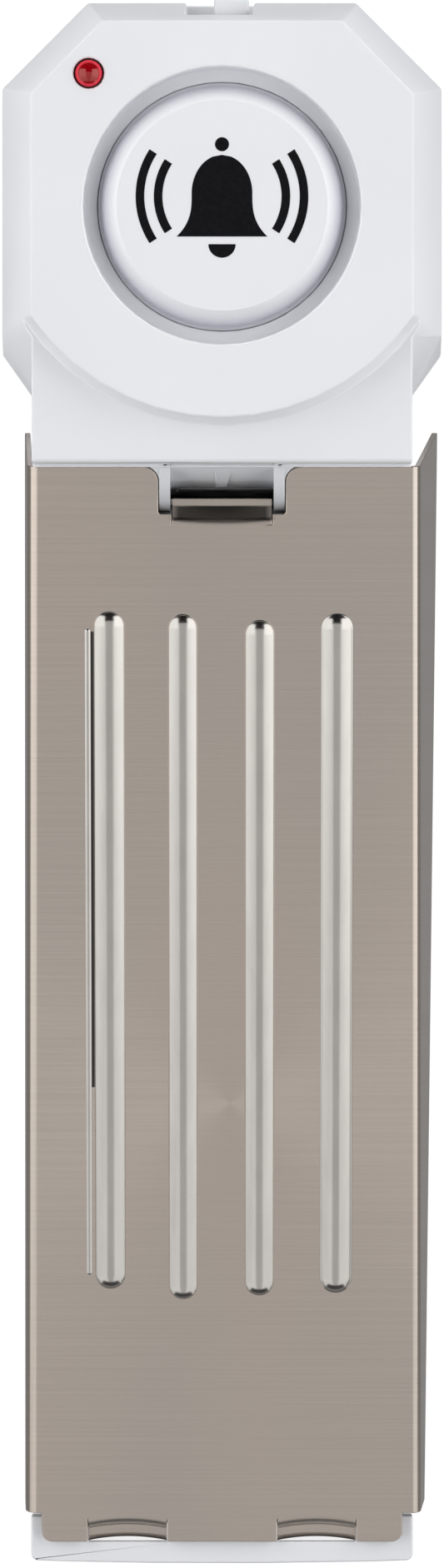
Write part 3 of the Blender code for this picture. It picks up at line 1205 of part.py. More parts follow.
def plate_cutters():
    """The notch at the tall end, the narrowed end with its round corners and the gaps over the hooks."""
    depth = (-FLANGE_TALL, PLATE_TOP_W + FOLD_RADIUS)
    mouth = NOTCH_HALF_WIDTH + NOTCH_MOUTH
    fillet = arc((mouth, PLATE_TALL_U - NOTCH_MOUTH), NOTCH_MOUTH, math.pi / 2, math.pi, FOLD_STEPS)
    half = [(mouth, PLATE_TALL_U + OVERRUN), *fillet, (NOTCH_HALF_WIDTH, PLATE_TALL_U - NOTCH_DEPTH)]
    yield prism("notch", mirrored(half), "Z", *depth)
    beyond = PLATE_HALF_LOW + FLANGE_TALL
    for side in (-1, 1):
        centre = (PLATE_END_HALF_WIDTH - PLATE_END_CORNER, PLATE_END_U + PLATE_END_CORNER)
        corner = arc(centre, PLATE_END_CORNER, 0, -math.pi / 2, FOLD_STEPS)
        outline = [(PLATE_END_HALF_WIDTH, FLANGE_START), *corner, (centre[0], PLATE_END_U - OVERRUN)]
        outline += [(beyond, PLATE_END_U - OVERRUN), (beyond, FLANGE_START)]
        yield prism("end", [(side * x, u) for x, u in outline], "Z", *depth)
        half = HOOK_HALF_WIDTH + HOOK_RELIEF
        x = (side * HOOK_CENTRE - half, side * HOOK_CENTRE + half)
        yield box("hook_gap", x, (PLATE_END_U - OVERRUN, HOOK_START), depth)


def tongue_path():
    """Middle line of the tongue: along the sheet, down into the throat, and a short foot at its end."""
    bend_u = plate_point(TONGUE_BEND_Y, plate_z(TONGUE_BEND_Y, PLATE_TOP_W))[0]
    middle = PLATE_TOP_W - SHEET / 2
    down = -math.pi / 2 - SLOPE
    path = [(bend_u - TONGUE_OVERLAP, middle), (bend_u, middle)]
    turn_path(path, TONGUE_RADIUS, 0.0, down)
    fall = world_point(*path[-1])[1] - TONGUE_FOOT_Z - SHEET / 2 - TONGUE_FOOT_RADIUS
    path.append((path[-1][0] + fall * math.cos(down), path[-1][1] + fall * math.sin(down)))
    turn_path(path, TONGUE_FOOT_RADIUS, down, -SLOPE)
    reach = TONGUE_FOOT_TIP_Y - world_point(*path[-1])[0]
    path.append((path[-1][0] + reach * math.cos(SLOPE), path[-1][1] - reach * math.sin(SLOPE)))
    return path


def hook_path():
    """Middle line of a hook: back along the sheet, down through the nose, and a foot under its edge."""
    middle = PLATE_TOP_W - SHEET / 2
    down = math.pi * 1.5 - SLOPE
    path = [(HOOK_START + HOOK_OVERLAP, middle), (HOOK_START, middle)]
    turn_path(path, HOOK_RADIUS, math.pi, down)
    fall = world_point(*path[-1])[1] - HOOK_FOOT_Z - HOOK_FOOT_RADIUS
    path.append((path[-1][0] + fall * math.cos(down), path[-1][1] + fall * math.sin(down)))
    turn_path(path, HOOK_FOOT_RADIUS, down, math.pi - SLOPE)
    reach = world_point(*path[-1])[0] - HOOK_FOOT_TIP_Y
    path.append((path[-1][0] - reach * math.cos(SLOPE), path[-1][1] + reach * math.sin(SLOPE)))
    return path


def wedge_plate():
    plate = cut(channel(), *plate_cutters())
    unite(plate, strip("tongue", tongue_path(), SHEET, TONGUE_HALF_WIDTH, 0.0))
    for side in (-1, 1):
        unite(plate, strip("hook", hook_path(), SHEET, HOOK_HALF_WIDTH, side * HOOK_CENTRE))
    plate.location = (0.0, HINGE_Y, HINGE_Z)
    plate.rotation_euler.x = SLOPE
    return smooth(plate)


def screw(name, x, y, seat_z, length=SCREW_LENGTH, up=1):
    """A pan head screw whose head lies just off its seat, with a six-sided socket."""
    head_top = seat_z - up * GAP
    head_foot = head_top - up * SCREW_HEAD_HEIGHT
    profile = (
        (0, head_foot),
        (SCREW_HEAD, head_foot),
        (SCREW_HEAD, head_top),
        (SCREW_SHANK, head_top),
        (SCREW_SHANK, head_top + up * length),
        (0, head_top + up * (length + SCREW_SHANK)),
    )
    made = turned(name, profile, (x, y, 0), SCREW_SIDES, BRIGHT)
    socket = (head_foot - up * OVERLAP, head_foot + up * SCREW_DRIVE_DEPTH)
    return cut(made, rod("socket", SCREW_DRIVE, (x, y, 0), *socket, HEX_SIDES))


def drill(target, places, radius, z):
    return cut(target, *(rod("drill", radius, (x, y, 0), *z) for x, y in places))


def grip_pad(name, x, y, carrier):
    """A rubber pad, and the pocket for it in the piece that carries it."""
    pocket_x, pocket_y = (x[0] - GAP, x[1] + GAP), (y[0] - GAP, y[1] + GAP)
    cut(carrier, box("pocket", pocket_x, pocket_y, (-OVERRUN, FLOOR_CLEAR + GRIP_POCKET)))
    return box(name, x, y, (0.0, GRIP_THICKNESS), RUBBER)


def base_plate():
    base = box(
        "base_plate",
        (-BASE_HALF_WIDTH, BASE_HALF_WIDTH),
        (BASE_FRONT_Y, BASE_BACK_Y),
        (FLOOR_CLEAR, BASE_TOP_Z),
    )
    inner = TRIGGER_HALF_WIDTH + GAP
    outer = inner + CRADLE_WALL
    shelf = TRIGGER_BOTTOM_Z - GAP
    root = BASE_TOP_Z - BASE_THICKNESS / 2
    cradle = (
        (-outer, root),
        (-outer, CRADLE_GRIP_Z),
        (-inner, CRADLE_GRIP_Z),
        (-inner, shelf),
        (inner, shelf),
        (inner, CRADLE_GRIP_Z),
        (outer, CRADLE_GRIP_Z),
        (outer, root),
        (inner, root),
        (inner, shelf - RIB),
        (-inner, shelf - RIB),
        (-inner, root),
    )
    unite(base, prism("cradle", cradle, "Y", CRADLE_FRONT_Y, CRADLE_BACK_Y))
    places = base_screw_places()
    drill(base, places, SCREW_SHANK + GAP, (-OVERRUN, BASE_TOP_Z + OVERRUN))
    drill(base, places, SCREW_HEAD + GAP, (-OVERRUN, FLOOR_CLEAR + COUNTERBORE))
    for name, (half, front, back) in (("front_grip", FRONT_GRIP), ("middle_grip", MIDDLE_GRIP)):
        grip_pad(name, (-half, half), (front, back), base)
    for i, (x, y) in enumerate(places):
        screw(f"base_screw_{i + 1}", x, y, FLOOR_CLEAR + COUNTERBORE)
    return base


def battery_tray():
    inner = TRAY_HALF_WIDTH - TRAY_WALL
    hat = (
        (TRAY_HALF_WIDTH, FLANGE_BOTTOM_Z),
        (TRAY_HALF_WIDTH, TRAY_TOP_Z),
        (-TRAY_HALF_WIDTH, TRAY_TOP_Z),
        (-TRAY_HALF_WIDTH, FLANGE_BOTTOM_Z),
        (-inner, FLANGE_BOTTOM_Z),
        (-inner, TRAY_TOP_Z - TRAY_ROOF),
        (inner, TRAY_TOP_Z - TRAY_ROOF),
        (inner, FLANGE_BOTTOM_Z),
    )
    tray = prism("battery_tray", hat, "Y", TRAY_FRONT_Y, TRAY_REAR_Y, GREY)
    rail = (
        (RAIL_OUTER, FLOOR_CLEAR),
        (RAIL_OUTER, FLANGE_TOP_Z - OVERLAP),
        (RAIL_GROOVE, FLANGE_TOP_Z - OVERLAP),
        (RAIL_GROOVE, FLOOR_CLEAR + RAIL_LIP),
        (RAIL_INNER, FLOOR_CLEAR + RAIL_LIP),
        (RAIL_INNER, FLOOR_CLEAR),
    )
    boss_z = (TRAY_TOP_Z - OVERLAP, BOARD_BOTTOM_Z - GAP)
    for side in (-1, 1):
        root = inner + TRAY_WALL / 2
        flange = [(root, FLANGE_OUTLINE[0][1]), *FLANGE_OUTLINE, (root, FLANGE_OUTLINE[-1][1])]
        unite(
            tray,
            prism("flange", [(side * x, y) for x, y in flange], "Z", FLANGE_BOTTOM_Z, FLANGE_TOP_Z),
            prism("rail", [(side * x, z) for x, z in rail], "Y", RAIL_FRONT_Y, RAIL_REAR_Y),
            rod("boss", BOSS_RADIUS, (side * BOARD_SCREW_X, BOARD_SCREW_Y, 0), *boss_z),
        )
    hole = SCREW_SHANK + GAP
    drill(tray, tray_screw_places(), hole, (0.0, FLANGE_TOP_Z + OVERRUN))
    floor = TRAY_TOP_Z - TRAY_ROOF / 2
    drill(tray, board_screw_places(), hole, (floor, BOARD_TOP_Z))
    for i, (x, y) in enumerate(tray_screw_places()):
        screw(f"tray_screw_{i + 1}", x, y, FLANGE_BOTTOM_Z)
    return tray


def battery_door():
    """Sliding door with two side tongues, finger ribs near its rear edge and two rubber pads."""
    corner = REAR_Y - DRAFT_CORNER_Y - (FLOOR_HALF_WIDTH - DOOR_HALF_WIDTH)
    half = (
        (DOOR_HALF_WIDTH, DOOR_FRONT_Y),
        (DOOR_HALF_WIDTH, DOOR_REAR_Y - corner),
        (DOOR_HALF_WIDTH - corner, DOOR_REAR_Y),
    )
    top = FLOOR_CLEAR + DOOR_THICKNESS
    door = prism("battery_door", mirrored(half), "Z", FLOOR_CLEAR, top)
    tongue_y = (DOOR_TONGUE_FRONT_Y, DOOR_TONGUE_REAR_Y)
    for side in (-1, 1):
        x = (side * (DOOR_HALF_WIDTH - OVERLAP), side * (DOOR_HALF_WIDTH + DOOR_TONGUE))
        unite(door, box("tongue", x, tongue_y, (top - DOOR_TONGUE_THICKNESS, top)))
    grip = (-DOOR_GRIP_HALF_LENGTH, DOOR_GRIP_HALF_LENGTH)
    for i in range(DOOR_GRIP_RIBS):
        y = DOOR_GRIP_Y + i * DOOR_GRIP_PITCH
        cut(door, box("rib", grip, (y, y + DOOR_GRIP_WIDTH), (-OVERRUN, FLOOR_CLEAR + DOOR_GRIP_DEPTH)))
    half, front, back = DOOR_GRIP_PAD
    for name, x in (("rear_grip_left", (-half, -OVERRUN)), ("rear_grip_right", (OVERRUN, half))):
        grip_pad(name, x, (front, back), door)
    return door


def board_screw_places():
    return [(x, BOARD_SCREW_Y) for x in (-BOARD_SCREW_X, BOARD_SCREW_X)]


def circuit_board():
    half = (
        (BOARD_HALF_WIDTH, BOARD_FRONT_Y),
        (BOARD_HALF_WIDTH, BOARD_REAR_Y - BOARD_CORNER),
        (BOARD_HALF_WIDTH - BOARD_CORNER, BOARD_REAR_Y),
    )
    board = prism("circuit_board", mirrored(half), "Z", BOARD_BOTTOM_Z, BOARD_TOP_Z, GREEN)
    drill(board, board_screw_places(), SCREW_SHANK + GAP, (BOARD_BOTTOM_Z - OVERLAP, BOARD_TOP_Z + OVERLAP))
    for i, (x, y) in enumerate(board_screw_places()):
        screw(f"board_screw_{i + 1}", x, y, BOARD_TOP_Z, BOARD_SCREW_LENGTH - SCREW_SHANK, -1)
    return board


def on_board(name, place, profile, surface, sides=SCREW_SIDES):
    """A turned component standing on the circuit board."""
    return turned(name, [(r, ON_BOARD_Z + z) for r, z in profile], (*place, 0), sides, surface)


def beside_cap(offset):
    """Place (x, y) of a component from the middle of the siren cap."""
    return offset[0], CAP_Y + offset[1]


def board_components():
    x, y = beside_cap(CHIP_OFFSET)
    length, width, height = CHIP_SIZE
    chip_x, chip_y = (x - length / 2, x + length / 2), (y - width / 2, y + width / 2)
    chip = box("siren_chip", chip_x, chip_y, (ON_BOARD_Z, ON_BOARD_Z + height), BLACK)
    notch_z = (ON_BOARD_Z + height / 2, ON_BOARD_Z + height + OVERLAP)
    cut(chip, rod("notch", CHIP_NOTCH, (x - length / 2, y, 0), *notch_z, SMALL_SIDES))
    coil = (
        (0, 0),
        (COIL_RADIUS, 0),
        (COIL_RADIUS, COIL_FLANGE),
        (COIL_WAIST, COIL_FLANGE),
        (COIL_WAIST, COIL_HEIGHT - COIL_FLANGE),
        (COIL_RADIUS, COIL_HEIGHT - COIL_FLANGE),
        (COIL_RADIUS, COIL_HEIGHT),
        (0, COIL_HEIGHT),
    )
    on_board("step_up_coil", beside_cap(COIL_OFFSET), coil, COPPER, WELL_SIDES)
    can = ((0, 0), (CAPACITOR_RADIUS, 0), (CAPACITOR_RADIUS, CAPACITOR_HEIGHT), (0, CAPACITOR_HEIGHT))
    on_board("capacitor", (CAPACITOR_X, BOARD_FRONT_Y + CAPACITOR_SETBACK), can, BLACK)
    flat = math.acos(TRANSISTOR_FLAT / TRANSISTOR_RADIUS)
    outline = arc(beside_cap(TRANSISTOR_OFFSET), TRANSISTOR_RADIUS, flat, 2 * math.pi - flat, SCREW_SIDES)
    prism("transistor", outline, "Z", ON_BOARD_Z, ON_BOARD_Z + TRANSISTOR_HEIGHT, BLACK)
    for i, (x, y) in enumerate(map(beside_cap, RESISTOR_OFFSETS)):
        ends = (-RESISTOR_LENGTH / 2, RESISTOR_LENGTH / 2)
        centre = (x, y, ON_BOARD_Z + RESISTOR_RADIUS)
        rod(f"resistor_{i + 1}", RESISTOR_RADIUS, centre, *ends, SMALL_SIDES, CERAMIC, "Y")


def sounder():
    """Siren cap, and the resonator ring, brass plate and ceramic disc under it."""
    top, skirt = HEAD_HEIGHT, CAP_RADIUS - CAP_SKIRT
    cap = (
        (0, top - CAP_TOP_WALL),
        (skirt, top - CAP_TOP_WALL),
        (skirt, CAP_BOTTOM_Z),
        (CAP_RADIUS, CAP_BOTTOM_Z),
        (CAP_RADIUS, top - GROOVE_DEPTH),
        ((CAP_RADIUS * 2 + CAP_FLAT_RADIUS) / 3, top - GROOVE_DEPTH / 3),
        (CAP_FLAT_RADIUS, top),
        (0, top),
    )
    centre = (0, CAP_Y, 0)
    smooth(turned("siren_cap", cap, centre, ROUND_SIDES))
    ring_top = COLLAR_BOTTOM_Z - GAP
    ring = (
        (RING_LIP, RING_BOTTOM_Z),
        (RING_OUTER, RING_BOTTOM_Z),
        (RING_OUTER, ring_top),
        (RING_INNER, ring_top),
        (RING_INNER, RING_LIP_Z),
        (RING_LIP, RING_LIP_Z),
    )
    smooth(turned("piezo_ring", ring, centre, ROUND_SIDES, GREY))
    plate_z0 = RING_LIP_Z + GAP
    ceramic_z0 = plate_z0 + PIEZO_THICKNESS + GAP
    ceramic_z = (ceramic_z0, ceramic_z0 + CERAMIC_THICKNESS)
    rod("piezo_plate", PIEZO_RADIUS, centre, plate_z0, plate_z0 + PIEZO_THICKNESS, ROUND_SIDES, BRASS)
    rod("piezo_ceramic", CERAMIC_RADIUS, centre, *ceramic_z, ROUND_SIDES, CERAMIC)


def indicator():
    """The LED in its hole, with its two leads down to the board."""
    rim_top = CAVITY_ROOF_Z - GAP
    rim_foot = rim_top - LED_RIM
    dome_z = HEAD_HEIGHT + LED_TIP_RISE - LED_RADIUS
    dome = arc((0, dome_z), LED_RADIUS, 0, math.pi / 2, BEND_STEPS)
    profile = [(0, rim_foot), (LED_RIM_RADIUS, rim_foot), (LED_RIM_RADIUS, rim_top), (LED_RADIUS, rim_top)]
    profile += dome[:-1] + [(0, dome_z + LED_RADIUS)]
    smooth(turned("led", profile, (LED_X, LED_Y, 0), STUD_SIDES, RED))
    for i, side in enumerate((-1, 1)):
        centre = (LED_X + side * LED_LEAD_SPACING, LED_Y, 0)
        rod(f"led_lead_{i + 1}", LED_LEAD_RADIUS, centre, ON_BOARD_Z, rim_foot - GAP, WIRE_SIDES, BRIGHT)


def slide_switch():
    x = (KNOB_LEFT - KNOB_TRAVEL - GAP, KNOB_RIGHT + GAP)
    body = box(
        "switch_body",
        (x[0] - SWITCH_END, x[1] + SWITCH_END),
        (SWITCH_FRONT_Y, SWITCH_BACK_Y),
        (ON_BOARD_Z, SWITCH_TOP_Z),
        BLACK,
    )
    z = (KNOB_BOTTOM_Z - GAP, KNOB_TOP_Z + GAP)
    cut(body, box("slot", x, (KNOB_ROOT_Y - GAP, SWITCH_BACK_Y + OVERLAP), z))
    corners = []
    for side, centre_x in ((1, KNOB_RIGHT - KNOB_CORNER), (-1, KNOB_LEFT + KNOB_CORNER)):
        ends = (0, math.pi / 2) if side > 0 else (math.pi / 2, math.pi)
        corners += arc((centre_x, KNOB_TIP_Y - KNOB_CORNER), KNOB_CORNER, *ends, FOLD_STEPS)
    outline = [(KNOB_RIGHT, KNOB_ROOT_Y), *corners, (KNOB_LEFT, KNOB_ROOT_Y)]
    return prism("switch_knob", outline, "Z", KNOB_BOTTOM_Z, KNOB_TOP_Z, WHITE)


def rounded_rectangle(x, z, radius, steps=FOLD_STEPS):
    """An outline with four round corners."""
    outline = []
    for i, (a, b) in enumerate(((x[1], z[1]), (x[0], z[1]), (x[0], z[0]), (x[1], z[0]))):
        centre = (a - math.copysign(radius, a - sum(x) / 2), b - math.copysign(radius, b - sum(z) / 2))
        outline += arc(centre, radius, i * math.pi / 2, (i + 1) * math.pi / 2, steps)
    return outline


def battery():
    half = BATTERY_WIDTH / 2
    outline = rounded_rectangle((-half, half), (BATTERY_BOTTOM_Z, BATTERY_TOP_Z), BATTERY_EDGE)
    prism("battery", outline, "Y", BATTERY_FRONT_Y, BATTERY_REAR_Y, GREY)
    seat = BATTERY_FRONT_Y - GAP
    studs = (("terminal_plus", 1, STUD_RADIUS, STUD_SIDES), ("terminal_minus", -1, SOCKET_RADIUS, HEX_SIDES))
    for name, side, radius, sides in studs:
        waist = radius - GAP
        profile = (
            (0, TERMINAL_TIP_Y),
            (radius, TERMINAL_TIP_Y),
            (radius, TERMINAL_TIP_Y + TERMINAL_HEIGHT / 3),
            (waist, TERMINAL_TIP_Y + TERMINAL_HEIGHT / 2),
            (waist, seat),
            (0, seat),
        )
        turned(name, profile, (side * TERMINAL_SPACING / 2, 0, TERMINAL_Z), sides, BRIGHT, "Y")
    back = TERMINAL_TIP_Y - GAP
    half = CONNECTOR_HALF_WIDTH
    plate = rounded_rectangle((-half, half), (CONNECTOR_BOTTOM_Z, CONNECTOR_TOP_Z), BATTERY_EDGE)
    return prism("snap_connector", plate, "Y", back - CONNECTOR_THICKNESS, back, BLACK)


def lever_tip():
    return LEVER_TIP_Y, TONGUE_FOOT_Z - LEVER_TOUCH_GAP - LEVER_THICKNESS / 2


def trigger():
    """Snap switch under the tongue: its body with two pivot lugs, its lever and its button."""
    half = TRIGGER_HALF_WIDTH
    z = (TRIGGER_BOTTOM_Z, TRIGGER_TOP_Z)
    body = box("trigger_switch", (-half, half), (TRIGGER_FRONT_Y, TRIGGER_BACK_Y), z, BLACK)
    lug_x = LEVER_HALF_WIDTH + GAP
    lug_y = (LEVER_PIVOT_Y - LEVER_EYE - GAP, LEVER_PIVOT_Y + LEVER_EYE + GAP)
    for side in (-1, 1):
        x = (side * lug_x, side * half)
        unite(body, box("lug", x, lug_y, (TRIGGER_TOP_Z - OVERLAP, LEVER_PIVOT_Z + LEVER_EYE)))
    tip_y, tip_z = lever_tip()
    rise = (tip_z - LEVER_PIVOT_Z) / (tip_y - LEVER_PIVOT_Y)
    bore_z = BUTTON_BOTTOM_Z - BUTTON_TRAVEL - GAP
    cut(body, rod("bore", BUTTON_RADIUS + GAP, (0, BUTTON_Y, 0), bore_z, TRIGGER_TOP_Z + OVERLAP))
    button_top = LEVER_PIVOT_Z + (BUTTON_Y - LEVER_PIVOT_Y) * rise - LEVER_THICKNESS - GAP
    rod("trigger_button", BUTTON_RADIUS, (0, BUTTON_Y, 0), BUTTON_BOTTOM_Z, button_top, SCREW_SIDES, RED_WIRE)
    path = [(0.0, 0.0), (tip_y - LEVER_PIVOT_Y, tip_z - LEVER_PIVOT_Z)]
    lever = strip("trigger_lever", path, LEVER_THICKNESS, LEVER_HALF_WIDTH, 0.0, BRIGHT)
    ring = arc((0, 0), LEVER_EYE, 0, 2 * math.pi, SMALL_SIDES)[:-1]
    eye = prism("eye", ring, "X", -LEVER_HALF_WIDTH, LEVER_HALF_WIDTH)
    unite(lever, eye)
    lever.location = (0.0, LEVER_PIVOT_Y, LEVER_PIVOT_Z)
    return lever


def tube(name, points, radius, surface, resolution=1):
    """A round wire along points."""
    curve = bpy.data.curves.new(name, "CURVE")
    curve.dimensions = "3D"
    curve.bevel_depth = radius
    curve.bevel_resolution = resolution
    curve.use_fill_caps = True
    line = curve.splines.new("POLY")
    line.points.add(len(points) - 1)
    for target, point in zip(line.points, points):
        target.co = (*point, 1.0)
    made = bpy.data.objects.new(name, curve)
    made.data.materials.append(surface)
    bpy.context.scene.collection.objects.link(made)
    return made


def through(route, steps=5):
    """A smooth curve through the points of a route, by Catmull and Rom's rule."""
    knots = [Vector(p) for p in (route[0], *route, route[-1])]
    made = []
    for i in range(1, len(knots) - 2):
        before, first, second, after = knots[i - 1 : i + 3]
        for step in range(steps):
            t = step / steps
            bend = 2 * first + (second - before) * t
            bend += (2 * before - 5 * first + 4 * second - after) * t**2
            bend += (3 * first - before - 3 * second + after) * t**3
            made.append(bend / 2)
    return made + [knots[-1]]


def return_springs():
    """Two coil springs in the wells, closed up at both ends, from their seats to the plate's underside."""
    top = plate_z(SPRING_Y - SPRING_RADIUS, PLATE_TOP_W - SHEET) - GAP - SPRING_WIRE
    bottom = SPRING_BOTTOM_Z + SPRING_WIRE
    closed = SPRING_END_TURNS * SPRING_END_PITCH
    open_pitch = (top - bottom - 2 * closed) / (SPRING_TURNS - 2 * SPRING_END_TURNS)
    for name, side in (("return_spring_left", -1), ("return_spring_right", 1)):
        points = []
        for i in range(SPRING_TURNS * SPRING_STEPS + 1):
            turn = i / SPRING_STEPS
            ends = min(turn, SPRING_END_TURNS) + max(turn - SPRING_TURNS + SPRING_END_TURNS, 0)
            z = bottom + ends * SPRING_END_PITCH + (turn - ends) * open_pitch
            angle = 2 * math.pi * turn
            x = side * SPRING_X + SPRING_RADIUS * math.cos(angle)
            points.append((x, SPRING_Y + SPRING_RADIUS * math.sin(angle), z))
        tube(name, points, SPRING_WIRE, BRIGHT)


def routed(route, rise_shares, foot_z, side=1, shift=0.0):
    """Points of a lead that climbs from foot_z to the board."""
    rise = BOARD_TOP_Z - foot_z
    points = []
    for (x, y), share in zip(route, rise_shares):
        points.append((side * (shift + x), PLATE_TALL_Y + y, foot_z + rise * share))
    return through(points)


def leads():
    for i, side in enumerate((-1, 1)):
        route = routed(BATTERY_WIRE_ROUTE, BATTERY_WIRE_RISE_SHARES, CONNECTOR_TOP_Z, side, BATTERY_WIRE_X)
        tube(f"battery_wire_{i + 1}", route, WIRE_RADIUS, (BLACK, RED_WIRE)[i])
    route = routed(TRIGGER_WIRE_ROUTE, TRIGGER_WIRE_RISE_SHARES, TRIGGER_BOTTOM_Z)
    tube("trigger_wire", route, TRIGGER_WIRE_RADIUS, GREY)


upper_shell()
wedge_plate()
base_plate()
battery_tray()
battery_door()
circuit_board()
board_components()
sounder()
indicator()
slide_switch()
battery()
trigger()
return_springs()
leads()
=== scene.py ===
"""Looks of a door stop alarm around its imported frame.

Lengths are metres, +Y points to the siren head and +Z up. Each sub-assembly is a class that holds its sizes
and makes and dresses its own pieces. New shapes are functions of two parameters, worked out as whole arrays.
"""

from __future__ import annotations

import logging
import math
from dataclasses import dataclass
from enum import Enum

import bmesh
import bpy
import numpy as np
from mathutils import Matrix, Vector

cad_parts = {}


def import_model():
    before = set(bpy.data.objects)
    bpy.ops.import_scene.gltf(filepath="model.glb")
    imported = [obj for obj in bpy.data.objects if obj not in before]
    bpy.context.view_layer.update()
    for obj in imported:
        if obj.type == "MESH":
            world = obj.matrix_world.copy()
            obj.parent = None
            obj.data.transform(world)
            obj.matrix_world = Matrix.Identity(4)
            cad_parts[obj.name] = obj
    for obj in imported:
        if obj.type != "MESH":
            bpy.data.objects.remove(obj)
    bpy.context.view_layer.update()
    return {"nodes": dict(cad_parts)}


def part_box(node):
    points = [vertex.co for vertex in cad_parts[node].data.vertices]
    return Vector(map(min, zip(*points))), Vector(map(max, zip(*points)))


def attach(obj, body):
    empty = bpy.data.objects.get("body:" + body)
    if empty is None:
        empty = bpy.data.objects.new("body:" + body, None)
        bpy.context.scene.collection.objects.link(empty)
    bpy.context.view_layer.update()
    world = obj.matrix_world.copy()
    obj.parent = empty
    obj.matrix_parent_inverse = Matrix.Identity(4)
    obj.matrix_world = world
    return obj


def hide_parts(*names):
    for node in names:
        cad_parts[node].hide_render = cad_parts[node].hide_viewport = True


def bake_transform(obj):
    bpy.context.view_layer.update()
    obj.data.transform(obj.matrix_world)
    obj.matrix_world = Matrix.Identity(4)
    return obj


MM = 0.001
MERGE_DISTANCE = 0.02 * MM
SEAM_DISTANCE = 0.0001 * MM
LOG = logging.getLogger("door_stop_alarm")

Colour = tuple[float, float, float]
Pair = tuple[float, float]
Point = tuple[float, float, float]
Socket = bpy.types.NodeSocket
Value = Socket | float | tuple[float, ...]
WHITE: Colour = (1.0, 1.0, 1.0)


class Body(Enum):
    """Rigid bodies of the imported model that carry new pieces."""

    HOUSING = "housing"
    RAMP = "ramp"
    LEVER = "lever"
    KNOB = "power_knob"
    DOOR = "door"


class Axis(Enum):
    """Direction in which a profile is carried, or to which a rectangle is square."""

    X = 0
    Y = 1
    Z = 2


# Materials


class Nodes:
    """A node tree, with short ways to add its nodes and feed them."""

    def __init__(self, tree: bpy.types.NodeTree) -> None:
        """Takes up a tree."""
        self.tree = tree

    def feed(self, node: bpy.types.Node, inputs: dict[str | int, Value]) -> None:
        """Joins a node's inputs to sockets, or sets them to values.

        Args:
            node: node to feed.
            inputs: a socket or a value for each input, by its name or number.
        """
        for key, value in inputs.items():
            if isinstance(value, Socket):
                self.tree.links.new(value, node.inputs[key])
            else:
                node.inputs[key].default_value = value

    def add(self, kind: str, inputs: dict[str | int, Value], **choices: str) -> bpy.types.Node:
        """Adds a node and feeds it.

        Args:
            kind: type of the node, without the word ShaderNode.
            inputs: a socket or a value for each input, by its name or number.
            choices: the node's own choices, such as its operation.

        Returns:
            The node.
        """
        node = self.tree.nodes.new(f"ShaderNode{kind}")
        for name, choice in choices.items():
            setattr(node, name, choice)
        self.feed(node, inputs)
        return node

    def between(self, value: Socket, low: float, high: float, span: Pair = (0.0, 1.0)) -> Socket:
        """Maps the values of a span onto low to high.

        Args:
            value: socket to map.
            low: result at the span's start.
            high: result at its end.
            span: first and last value to map.

        Returns:
            The socket with the mapped value.
        """
        inputs = {"From Min": span[0], "From Max": span[1], "To Min": low, "To Max": high, "Value": value}
        return self.add("MapRange", inputs).outputs["Result"]

    def larger(self, first: Socket, second: Socket) -> Socket:
        """The larger of two values."""
        return self.add("Math", {0: first, 1: second}, operation="MAXIMUM").outputs["Value"]

    def seen(self) -> Socket:
        """One where a camera, glossy or transmitted ray looks, and zero where a surface gathers light.

        Returns:
            The socket with the value.
        """
        paths = self.add("LightPath", {}).outputs
        seen = paths["Is Camera Ray"]
        for name in ("Is Glossy Ray", "Is Transmission Ray"):
            seen = self.larger(seen, paths[name])
        return seen


